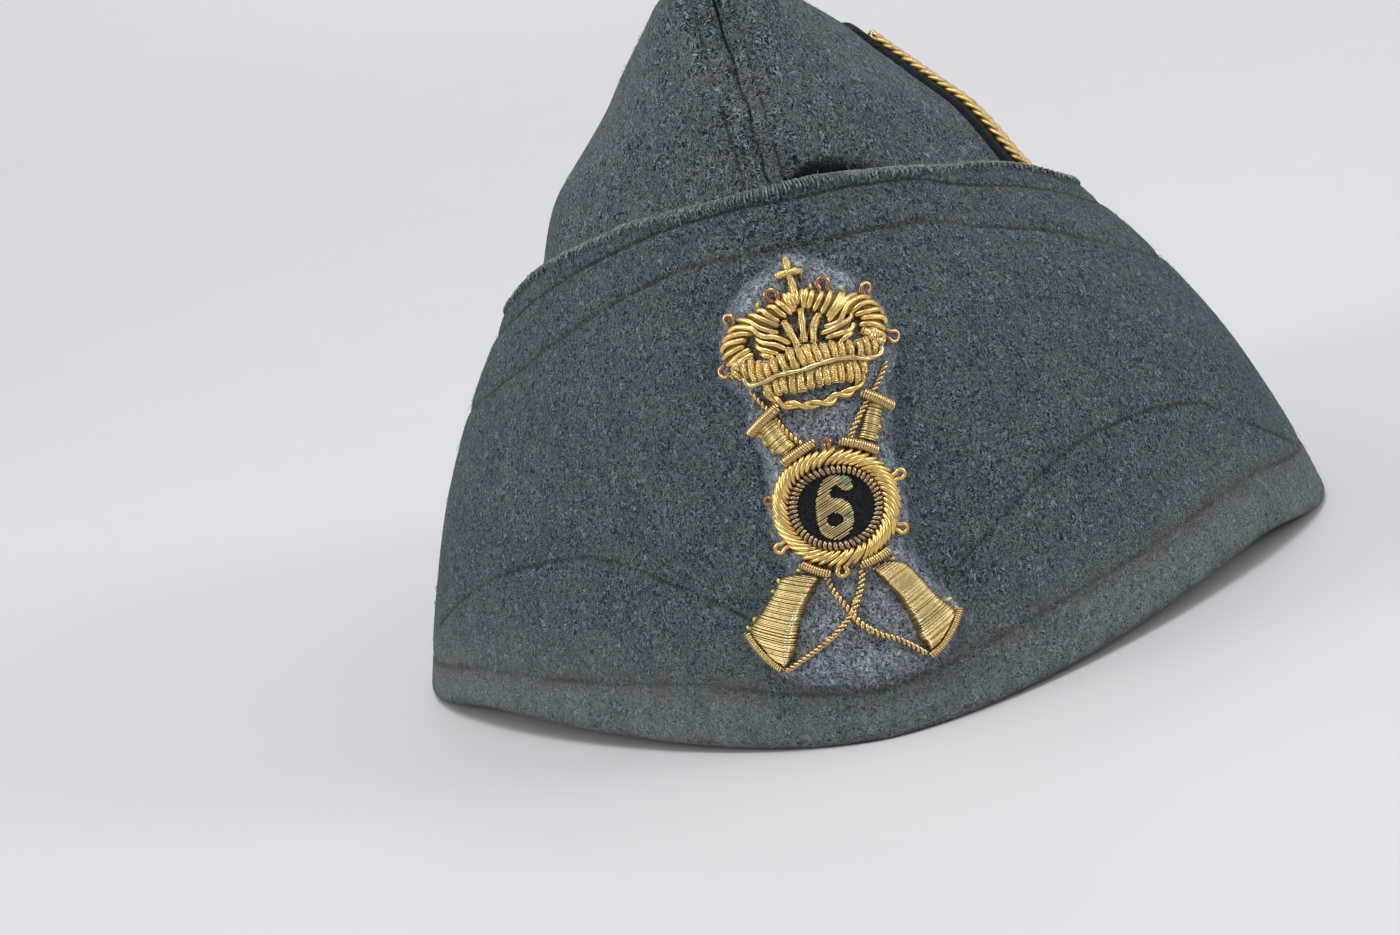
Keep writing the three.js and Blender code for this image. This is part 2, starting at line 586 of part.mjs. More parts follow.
function addEmbroideredCrown() {
  const { centre: [x, y], up, down, arm, bar } = CROSS;
  const cross = outline([
    [x - bar, y + up], [x - bar, y + bar], [x - arm, y + bar], [x - arm, y - bar], [x - bar, y - bar],
    [x - bar, y - down], [x + bar, y - down], [x + bar, y - bar], [x + arm, y - bar],
    [x + arm, y + bar], [x + bar, y + bar], [x + bar, y + up],
  ], false);
  add('crown_cross', layOnTurnUp(raise(cross, WORK, LAYER.flat)), 'wound_thread');
  const arch = strip(ARCH.route, ARCH.halfWidth, 20);
  add('crown_arch', layOnTurnUp(raise(arch, WORK, LAYER.pad)), 'bullion');
  Object.entries(LOBES).forEach(([side, points]) => {
    add(`crown_lobe_${side}`, layOnTurnUp(raise(outline(points), WORK, LAYER.pad)), 'bullion');
  });
  RAYS.forEach(({ foot, tip }, i) => {
    const ray = strip([foot, tip], RAY_WIDTH / 2, 1);
    add(`crown_ray_${i + 1}`, layOnTurnUp(raise(ray, WORK, LAYER.flat)), 'bullion');
  });
  add('crown_base', layOnTurnUp(raise(outline(CROWN_BASE), WORK, LAYER.pad)), 'bullion');
  add('crown_swag', layOnTurnUp(cord(SWAG, LAYER.cord, WORK + LAYER.cord, 0)), 'bullion');
}

function addRifles() {
  Object.entries(RIFLES).forEach(([side, rifle]) => {
    const band = ({ ends, halfWidth }) => {
      const flat = strip(ends, halfWidth, ends.length * 2);
      return layOnTurnUp(raise(flat, WORK, LAYER.flat));
    };
    const padded = (shape) => layOnTurnUp(raise(shape, WORK, LAYER.pad, SOFTENED));
    add(`muzzle_band_${side}`, band(rifle.muzzleBand), 'wound_thread');
    add(`rifle_fore_${side}`, padded(outline(rifle.fore, false)), 'wound_thread');
    add(`middle_band_${side}`, band(rifle.middleBand), 'wound_thread');
    add(`neck_band_${side}`, band(rifle.neckBand), 'wound_thread');
    add(`butt_${side}`, padded(outline(rifle.butt)), 'wound_thread');
    add(`butt_plate_${side}`, band(rifle.plate), 'wound_thread');
  });
}

/** A flat ring between two radii, a little wider than it is high. */
function ringShape(outer, inner) {
  const wide = RING.stretchX;
  const shape = new THREE.Shape().absellipse(0, 0, outer * wide, outer, 0, 2 * Math.PI);
  const hole = new THREE.Path().absellipse(0, 0, inner * wide, inner, 0, 2 * Math.PI, true);
  shape.holes.push(hole);
  return shape;
}

function addShield() {
  const ring = ringShape(RING.radius + RING.halfWidth, RING.radius - RING.halfWidth);
  add('badge_ring', layOnTurnUp(raise(ring, WORK, LAYER.pad, SOFTENED)), 'bullion');
  const purl = ringShape(RING.purlRadius + RING.purlHalfWidth, RING.purlRadius - RING.purlHalfWidth);
  add('badge_purl_ring', layOnTurnUp(raise(purl, WORK, LAYER.flat)), 'dark_purl');
  const wide = DISC.radius * RING.stretchX;
  const disc = new THREE.Shape().absellipse(0, 0, wide, DISC.radius, 0, 2 * Math.PI);
  add('badge_disc', layOnTurnUp(raise(disc, WORK, DISC.thick)), 'black_felt');
  const number = outline(NUMBER.outline);
  const { x, y, radius } = NUMBER.hole;
  number.holes.push(new THREE.Path().absarc(x, y, radius, 0, 2 * Math.PI, true));
  add('badge_number', layOnTurnUp(raise(number, WORK + DISC.thick + GAP, LAYER.flat / 2)), 'lace');
}

function addSlings() {
  Object.entries(SLINGS).forEach(([side, { route, lift }]) => {
    add(`sling_${side}`, layOnTurnUp(cord(route, LAYER.cord, WORK + LAYER.cord, lift)), 'bullion');
  });
}

/** An upright rectangle either side of x = 0. */
function upright(width, bottom, top) {
  const half = width / 2;
  return outline([[-half, bottom], [half, bottom], [half, top], [-half, top]], false);
}

function addRank() {
  const bottom = edgeHeight(radians(RANK.angle)) + RANK.bottomGap;
  const cloth = upright(RANK.width, bottom, RANK.topHeight);
  add('rank_backing', layOnCrown(raise(cloth, RANK.low, RANK.thick)), 'black_cloth');
  const lace = upright(RANK.laceWidth, bottom, RANK.topHeight - RANK.laceDrop);
  add('rank_lace', layOnCrown(raise(lace, RANK.low + RANK.thick + GAP, RANK.laceThick)), 'lace');
}

addCloth();
add('badge_backing', layOnTurnUp(raise(outline(PATCH), FELT.low, FELT.thick)), 'felt');
addEmbroideredCrown();
addRifles();
addShield();
addSlings();
addRank();

export default cap;
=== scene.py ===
"""The looks of the garrison cap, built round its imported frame.

Lengths are in millimetres until a mesh is made, and in metres from there on. The front looks
along -Y, the wearer's left is +X and up is +Z. The cloth follows one surface, the cap's outer
form. The badge is worked flat, with x to the wearer's left and y up from the middle of its ring,
and is then laid on the front of the turn-up.
"""

import logging
import math
from dataclasses import dataclass, field
from enum import StrEnum
from typing import Callable, Mapping, Sequence

import bpy
import numpy as np
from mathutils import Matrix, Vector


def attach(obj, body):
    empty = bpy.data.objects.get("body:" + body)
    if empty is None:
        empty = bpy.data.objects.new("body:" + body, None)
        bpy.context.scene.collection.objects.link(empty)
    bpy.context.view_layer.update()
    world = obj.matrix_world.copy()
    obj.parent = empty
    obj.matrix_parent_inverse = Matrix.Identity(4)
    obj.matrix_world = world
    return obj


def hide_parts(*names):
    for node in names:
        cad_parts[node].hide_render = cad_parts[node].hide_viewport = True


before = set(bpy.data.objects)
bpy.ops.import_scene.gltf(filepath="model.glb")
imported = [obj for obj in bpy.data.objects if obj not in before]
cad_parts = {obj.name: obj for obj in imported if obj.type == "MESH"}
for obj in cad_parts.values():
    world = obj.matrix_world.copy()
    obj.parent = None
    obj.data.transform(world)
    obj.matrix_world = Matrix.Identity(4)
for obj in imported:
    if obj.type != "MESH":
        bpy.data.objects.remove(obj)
bpy.context.view_layer.update()

LOG = logging.getLogger("cap")
MM = 0.001
BODY = "root"
Array = np.ndarray
Point = tuple[float, float]
Place = tuple[float, float, float]
Color = tuple[float, float, float]
Piece = bpy.types.Object
Material = bpy.types.Material


# ---- small tools ----


def lerp(a: float | Array, b: float | Array, share: float | Array) -> Array:
    """A value between two others."""
    return a + (b - a) * share


def smoothstep(x: Array, low: float, high: float) -> Array:
    """0 below low, 1 above high and smooth between."""
    t = np.clip((x - low) / (high - low), 0, 1)
    return t * t * (3 - 2 * t)


def bell(distance: Array, spread: float) -> Array:
    """A bell shaped weight, 1 at nothing and small past the spread."""
    return np.exp(-((distance / spread) ** 2))


def unit(vectors: Array) -> Array:
    """The vectors at a length of one."""
    return vectors / np.maximum(np.linalg.norm(vectors, axis=-1, keepdims=True), 1e-12)


@dataclass(frozen=True)
class Table:
    """Values at places, joined by smooth curves that never overshoot them."""

    places: tuple[float, ...]
    values: tuple[float, ...]

    def __call__(self, at: float | Array) -> Array:
        """The value at each place asked for."""
        xs, ys = np.array(self.places), np.array(self.values)
        span = np.diff(xs)
        slope = np.diff(ys) / span
        before, after = slope[:-1], slope[1:]
        same_way = before * after > 0
        mean = 2 * before * after / np.where(same_way, before + after, 1.0)
        tangent = np.concatenate([slope[:1], np.where(same_way, mean, 0.0), slope[-1:]])
        at = np.clip(at, xs[0], xs[-1])
        k = np.clip(np.searchsorted(xs, at) - 1, 0, len(span) - 1)
        t = (at - xs[k]) / span[k]
        left, right = (1 - t) ** 2, t * t
        return (ys[k] * (1 + 2 * t) * left + ys[k + 1] * right * (3 - 2 * t)
                + span[k] * (tangent[k] * t * left - tangent[k + 1] * right * (1 - t)))


def ripple(x: Array, seed: int, waves: Sequence[int], fall: float = 1.0) -> Array:
    """A smooth uneven line over a full turn, about one high.

    Args:
        x: Angles in radians.
        seed: Fixes the phases.
        waves: How many waves go into a turn, one entry each.
        fall: How fast the shorter waves get lower.

    Returns:
        The height of the line at each angle.
    """
    rng = np.random.default_rng(seed)
    total = sum(np.sin(n * x + rng.uniform(0, 2 * math.pi)) / n ** fall for n in waves)
    return total / math.sqrt(sum(1 / n ** (2 * fall) for n in waves) / 2) / 2


# ---- the cap's outer form ----

LEVELS = (0, .1, .2, .3, .4, .5, .6, .7, .8, .9, .96, 1, 1.15, 1.35, 1.6, 1.8, 2)


def shares(*values: float) -> Table:
    """A column of the profile, one value for each of its levels."""
    return Table(LEVELS, values)


@dataclass(frozen=True)
class CapForm:
    """The outer form of the cloth, the same as the frame's.

    A place on it is an angle, 0 in front and positive on the wearer's left, with a level: 0 at
    the rim, 1 on the ridge and 2 on the centre line of the top.
    """

    rim_length: float = 110
    rim_width: float = 86
    rim_corner: float = 0.3
    rim_fullness: float = 1.62
    ridge_y: Point = (-70, 78)
    ridge_width: float = 12.5
    ridge_bluntness: float = 0.55
    ridge_z: tuple[float, float, float] = (125, 108, 98)
    valley_y: Point = (-60, 69)
    valley_depth: Point = (17, 3)
    valley_steepness: float = 6
    notch: Point = (6, 4)
    notch_recess: float = 3
    notch_spread: float = 7
    notch_from: float = 0.72
    lean: Point = (2.5, 5)
    tuck: float = 3.5
    release: Point = (2, 16)
    undercut: tuple[float, float, float, float] = (26, 15, 4.2, 4.8)
    drift: Point = (.3, 7)
    shade: Point = (27, 25)

    rim_x = shares(1, .96, .91, .852, .778, .688, .575, .447, .308, .175, .085, .02,
                   0, 0, 0, 0, 0)
    rim_y = shares(1, .97, .93, .88, .81, .73, .62, .5, .36, .2, .09, .02, 0, 0, 0, 0, 0)
    ridge_x = shares(0, .04, .09, .15, .22, .31, .42, .55, .69, .86, .96, 1,
                     .84, .62, .36, .17, 0)
    centre_y = shares(0, 0, 0, 0, 0, 0, 0, 0, 0, 0, 0, 0, .12, .36, .66, .86, 1)
    rise = shares(0, .1, .2, .3, .4, .5, .6, .7, .8, .9, .97, 1, 1, 1, 1, 1, 1)
    sink = shares(0, 0, 0, 0, 0, 0, 0, 0, 0, 0, 0, 0, .07, .34, .74, .95, 1)
    arch = Table(
        (-180, -167, -135, -94, -86, -66, -45, -30, -13, 13, 32, 47, 66, 86, 94, 135, 167, 180),
        (0, 0, 2.4, 0, 0, 3.4, 2, .8, 0, 0, .8, 2.2, 4, 0, 0, 2.8, 0, 0))
    edge = Table((-180, -120, -90, -60, -40, -25, -12, 0, 12, 18, 24, 30, 36, 42, 48, 60, 90, 120,
                  180),
                 (60, 61, 68, 80, 87, 89.5, 90.5, 91, 90.5, 89.9, 89.1, 88, 86.9, 85.6, 83.8, 80,
                  68, 61, 60))
    stand_off = Table((-180, -110, -80, -50, -20, 0, 14, 30, 55, 180),
                      (0, .6, .5, .5, .6, 1, 2.6, 1.8, .3, 0))
    dents = ((-24, 103, 10, 12, -1.6), (26, 106, 11, 10, -1.3), (-75, 84, 24, 13, 2.6),
             (80, 84, 26, 20, 1.1), (-118, 80, 20, 12, -1.6), (-42, 34, 16, 20, -1),
             (44, 30, 14, 18, -.9), (150, 74, 16, 10, 1.2))

    def back_share(self, angle: Array) -> Array:
        """0 at the front and 1 at the back."""
        return (1 - np.cos(angle)) / 2

    def ridge_height(self, angle: Array) -> Array:
        """Height of the ridge at an angle."""
        back = self.back_share(angle)
        front_z, middle_z, back_z = self.ridge_z
        return (front_z * (1 - back) * (1 - 2 * back) + middle_z * 4 * back * (1 - back)
                + back_z * back * (2 * back - 1))

    def centre_x(self, angle: Array, rise: Array) -> Array:
        """Where the plane between the two halves lies, once the top leans over."""
        return -lerp(*self.lean, self.back_share(angle)) * rise ** 2

    def point(self, angle: Array, level: Array) -> Array:
        """Points of the form, carried on past its centre line by the other half.

        Args:
            angle: Angles in radians.
            level: Levels, as many or one.

        Returns:
            The points, with a last axis of three.
        """
        angle, level = np.broadcast_arrays(np.asarray(angle, float), np.asarray(level, float))
        angle = np.where(level > 2, -angle, angle)
        level = np.maximum(np.where(level > 2, 4 - level, level), 0)
        angle = (angle + math.pi) % (2 * math.pi) - math.pi
        side, turn = np.where(angle < 0, -1.0, 1.0), np.abs(angle)
        along = np.cos(turn)
        corner = self.rim_corner
        slant = (np.hypot(along, corner) - corner) / (math.hypot(1, corner) - corner)
        across = np.maximum(0, 1 - slant) ** (1 / self.rim_fullness)
        back = self.back_share(turn)
        degrees = np.degrees(turn)
        front_notch = bell(degrees, self.notch_spread)
        back_notch = bell(180 - degrees, self.notch_spread)
        near_top = smoothstep(level, self.notch_from, 1)
        depth = lerp(*self.valley_depth, (2 * back - 1) ** self.valley_steepness)
        rise, centre_y, rim_y = self.rise(level), self.centre_y(level), self.rim_y(level)
        ridge_x = self.ridge_width * np.maximum(np.sin(turn), 0) ** self.ridge_bluntness
        recess = self.notch_recess * (front_notch - back_notch) * near_top
        x = (side * (self.rim_width * across * self.rim_x(level) + ridge_x * self.ridge_x(level))
             + self.centre_x(angle, rise))
        y = (-self.rim_length * along * rim_y + lerp(*self.ridge_y, back) * (1 - rim_y - centre_y)
             + lerp(*self.valley_y, back) * centre_y
             + recess * np.where(level > 1, np.maximum(0, 2 - level), 1))
        z = (self.ridge_height(turn) * rise
             + self.arch(np.degrees(angle)) * (1 - np.minimum(rise, 1))
             - depth * self.sink(level)
             - (self.notch[0] * front_notch + self.notch[1] * back_notch) * near_top)
        return np.stack([x, y, z], -1)

    def normal(self, angle: Array, level: Array) -> Array:
        """The way out of the cloth."""
        turn, step = math.radians(1.2), 0.012
        around = self.point(angle + turn, level) - self.point(angle - turn, level)
        up = self.point(angle, level + step) - self.point(angle, level - step)
        return unit(np.cross(around, up))

    def dent(self, angle: Array, height: Array) -> Array:
        """The sum of the dents and swells at a place on the wall."""
        total = np.zeros(np.broadcast(angle, height).shape)
        for at, middle, spread, tall, out in self.dents:
            turn = np.abs(np.degrees(angle) - at) % 360
            apart = np.minimum(turn, 360 - turn)
            total = total + out * bell(apart, spread) * bell(height - middle, tall)
        return total

    def edge_height(self, angle: Array) -> Array:
        """Height of the turn-up's edge."""
        return self.edge(np.degrees(angle))

    def seam_drift(self, angle: Array, level: Array) -> Array:
        """How far the front seam strays to the wearer's left, lower down."""
        low = np.clip(1 - level, 0, self.drift[0])
        return self.drift[1] * low * bell(np.degrees(angle), 30)

    def beside_badge(self, angle: Array) -> Array:
        """1 where the crown is in the turn-up's shade, on the wearer's left, and 0 far off."""
        return bell(np.degrees(angle) - self.shade[0], self.shade[1])

    def off(self, angle: Array, level: Array, out: Array) -> Array:
        """Points at a distance out from the form."""
        return self.point(angle, level) + self.normal(angle, level) * out[..., None]

    def crown(self, angle: Array, level: Array, depth: float | Array = 0) -> Array:
        """Points of the crown's outer face, or under it by a depth.

        Args:
            angle: Angles in radians.
            level: Levels.
            depth: How far inside the face they lie.

        Returns:
            The points, with a last axis of three.
        """
        height = level * self.ridge_height(angle)
        above = height - self.edge_height(angle)
        tucked = self.tuck * (1 - smoothstep(above, *self.release))
        middle, spread, deep, tall = self.undercut
        tucked = tucked + (deep * (1 - smoothstep(above, 0, tall))
                           * bell(np.degrees(angle) - middle, spread))
        out = np.where(level < 1, self.dent(angle, height), 0) - tucked - depth
        return self.off(angle, level, out)

    def crown_at(self, angle: Array, height: Array, depth: float | Array = 0) -> Array:
        """Points of the crown's wall at a height."""
        return self.crown(angle, height / self.ridge_height(angle), depth)

    def turn_up(self, angle: Array, height: Array, depth: float | Array = 0) -> Array:
        """Points of the turn-up's outer face, or under it by a depth.

        Args:
            angle: Angles in radians.
            height: Heights over the rim.
            depth: How far inside the face they lie.

        Returns:
            The points, with a last axis of three.
        """
        angle, height = np.broadcast_arrays(angle, height)
        level = height / self.ridge_height(angle)
        share = height / self.edge_height(angle)
        out = self.dent(angle, height) + self.stand_off(np.degrees(angle)) * share ** 3 - depth
        return self.off(angle, level, out)

    def under_rim(self, angle: Array, inward: Array, height: Array) -> Array:
        """Points level with the rim, a distance inside its outer face."""
        points = self.turn_up(angle, height)
        level = height / self.ridge_height(angle)
        flat = self.normal(angle, level) * (1, 1, 0)
        points = points - unit(flat) * np.asarray(inward)[..., None]
        points[..., 2] = self.arch(np.degrees(angle)) + height
        return points


FORM = CapForm()


@dataclass
class Wall:
    """A patch of a cloth wall that flat work is laid on.

    A place on it is a distance across from a starting angle and a height. The wall is measured
    once on a fine lattice, and places between are blended from it.
    """

    surface: Callable[[Array, Array], Array]
    start: float
    across: Point
    heights: Point
    step: float = 0.5

    def __post_init__(self) -> None:
        """Measures the wall."""
        heights = np.arange(self.heights[0], self.heights[1] + self.step, self.step)
        reach = math.radians(45)
        angles = self.start + np.linspace(-reach, reach, 901)
        grid = self.surface(angles[None, :], heights[:, None])
        length = np.linalg.norm(np.diff(grid, axis=1), axis=-1)
        gone = np.hstack([np.zeros((len(heights), 1)), np.cumsum(length, axis=1)])
        gone -= gone[:, [len(angles) // 2]]
        xs = np.arange(self.across[0], self.across[1] + self.step, self.step)
        turn = np.stack([np.interp(xs, row, angles) for row in gone])
        tall = heights[:, None]
        nudge, lift = math.radians(0.5), 0.5
        around = self.surface(turn + nudge, tall) - self.surface(turn - nudge, tall)
        up = self.surface(turn, tall + lift) - self.surface(turn, tall - lift)
        self.points = self.surface(turn, tall)
        self.normals = unit(np.cross(around, up))

    def read(self, lattice: Array, across: Array, height: Array) -> Array:
        """A lattice's value at each place."""
        u = np.clip((across - self.across[0]) / self.step, 0, lattice.shape[1] - 1.001)
        v = np.clip((height - self.heights[0]) / self.step, 0, lattice.shape[0] - 1.001)
        i, j = v.astype(int), u.astype(int)
        s, t = (u - j)[..., None], (v - i)[..., None]
        low = lerp(lattice[i, j], lattice[i, j + 1], s)
        return lerp(low, lerp(lattice[i + 1, j], lattice[i + 1, j + 1], s), t)

    def lay(self, across: Array, height: Array, out: Array) -> Array:
        """Points at a distance out from the wall.

        Args:
            across: Distances along the wall from its starting angle.
            height: Heights over the rim.
            out: Distances out of the cloth.

        Returns:
            The points in the cap's frame.
        """
        normal = unit(self.read(self.normals, across, height))
        return self.read(self.points, across, height) + normal * np.asarray(out)[..., None]


@dataclass
class BadgeWall(Wall):
    """The front of the turn-up, in the badge's own tilt."""

    surface: Callable[[Array, Array], Array] = FORM.turn_up
    start: float = 0
    across: Point = (-30, 30)
    heights: Point = (1, 86)
    middle: float = 39
    tilt: float = -2.5
    lean: float = 17

    def place(self, flat: Array) -> Array:
        """Lays points of the flat badge on the wall.

        Args:
            flat: Points with x to the wearer's left, y up and z out of the cloth.

        Returns:
            The points in the cap's frame.
        """
        cos, sin = math.cos(math.radians(self.tilt)), math.sin(math.radians(self.tilt))
        x, y, z = flat[..., 0], flat[..., 1], flat[..., 2]
        height = self.middle + (x * sin + y * cos) * math.cos(math.radians(self.lean))
        return self.lay(x * cos - y * sin, height, z)


# ---- node trees ----


def maths(operation: str, swapped: bool = False) -> Callable[..., "Signal"]:
    """A signal's operator, which adds a Math node. swapped puts its other value first."""
    def node(signal: "Signal", *others: "Signal | float") -> "Signal":
        """Puts the values through the node."""
        values = (*others, signal) if swapped else (signal, *others)
        return signal.graph.add("ShaderNodeMath", dict(enumerate(values)), operation=operation)
    return node


@dataclass(frozen=True)
class Signal:
    """A value that runs through a node tree, so that an expression adds its Math nodes."""

    graph: "Graph"
    socket: bpy.types.NodeSocket

    __add__ = __radd__ = maths("ADD")
    __mul__ = __rmul__ = maths("MULTIPLY")
    __sub__, __rsub__ = maths("SUBTRACT"), maths("SUBTRACT", swapped=True)
    __truediv__, __rtruediv__ = maths("DIVIDE"), maths("DIVIDE", swapped=True)
    __abs__ = maths("ABSOLUTE")
    sine, cosine = maths("SINE"), maths("COSINE")

    def between(self, low: float, high: float) -> "Signal":
        """0 at low, 1 at high and smooth between. low may be the larger."""
        if low > high:
            return 1 - self.between(high, low)
        return self.graph.add("ShaderNodeMapRange", {
            "Value": self, "From Min": low, "From Max": high}, interpolation_type="SMOOTHSTEP")


Value = Signal | float | int | str | bool | tuple | bpy.types.ID


@dataclass
class Graph:
    """A node tree that is put together node by node."""

    tree: bpy.types.NodeTree

    def add(self, kind: str, inputs: Mapping[str | int, Value] | None = None,
            output: str | int = 0, **settings: str) -> Signal:
        """Adds a node.

        Args:
            kind: The node's type.
            inputs: Values or links by socket name or number.
            output: The socket to carry on from.
            settings: Properties that are set before the inputs.

        Returns:
            That output.
        """
        node = self.tree.nodes.new(kind)
        for name, value in settings.items():
            setattr(node, name, value)
        for key, value in (inputs or {}).items():
            if isinstance(value, Signal):
                self.tree.links.new(value.socket, node.inputs[key])
            else:
                node.inputs[key].default_value = value
        return Signal(self, node.outputs[output]) if node.outputs else Signal(self, None)

    def other(self, signal: Signal, output: str | int) -> Signal:
        """Another output of the node that a signal comes from."""
        return Signal(self, signal.socket.node.outputs[output])


def linear(*srgb: int) -> Color:
    """A colour given from 0 to 255 as it shows on a screen, as light."""
    shares_of_one = [c / 255 for c in srgb]
    return tuple(c / 12.92 if c <= .04045 else ((c + .055) / 1.055) ** 2.4 for c in shares_of_one)


class Shader(Graph):
    """A material's node tree."""

    def __init__(self, name: str) -> None:
        """Starts an empty material."""
        self.material = bpy.data.materials.new(name)
        self.material.use_nodes = True
        super().__init__(self.material.node_tree)
        self.tree.nodes.clear()
        self.place = self.add("ShaderNodeTexCoord", output="Object")

    def turned(self, turn: Place) -> Signal:
        """Object coordinates, turned by three angles."""
        return self.add("ShaderNodeMapping", {"Vector": self.place, "Rotation": turn})

    def noise(self, size: float, detail: float = 2, roughness: float = .5,
              distortion: float = 0, where: Signal | None = None) -> Signal:
        """Noise with blotches of about a size in millimetres."""
        return self.add("ShaderNodeTexNoise", {
            "Vector": where or self.place, "Scale": 1 / (size * MM), "Detail": detail,
            "Roughness": roughness, "Distortion": distortion})

    def attribute(self, name: str) -> Signal:
        """A number stored on the mesh."""
        return self.add("ShaderNodeAttribute", output="Fac", attribute_name=name)

    def blend(self, share: Signal | float, a: Signal | Color, b: Signal | Color) -> Signal:
        """Mixes two colours."""
        a, b = (c if isinstance(c, Signal) else (*c, 1) for c in (a, b))
        return self.add("ShaderNodeMix", {0: share, 6: a, 7: b}, 2, data_type="RGBA")

    def bump(self, height: Signal, distance: float, strength: float = 1) -> Signal:
        """Raises the surface, by a distance in millimetres where the height is one."""
        return self.add("ShaderNodeBump", {
            "Height": height, "Distance": distance * MM, "Strength": strength})

    def surface(self, **sockets: Value) -> Material:
        """Ends the tree in a Principled surface.

        Args:
            sockets: The surface's inputs, with _ for a space. A tuple is a colour.

        Returns:
            The material.
        """
        inputs = {key.replace("_", " "): (*value, 1) if isinstance(value, tuple) else value
                  for key, value in sockets.items()}
        shader = self.add("ShaderNodeBsdfPrincipled", inputs)
        self.add("ShaderNodeOutputMaterial", {"Surface": shader})
        return self.material


# ---- finishes ----


class Mark(StrEnum):
    """What a cloth mesh stores at its points, in millimetres."""

    EDGE = "below_edge"
    FIRST = "from_first"
    SECOND = "from_second"
    RIM = "above_rim"
    LOWEST = "from_lowest"
    ARC = "from_arc"
    SEAM = "from_seam"
    CUT = "from_cut"
    # Height over the turn-up's edge, for the painted shadow above it beside the badge.
    GAP = "above_gap"


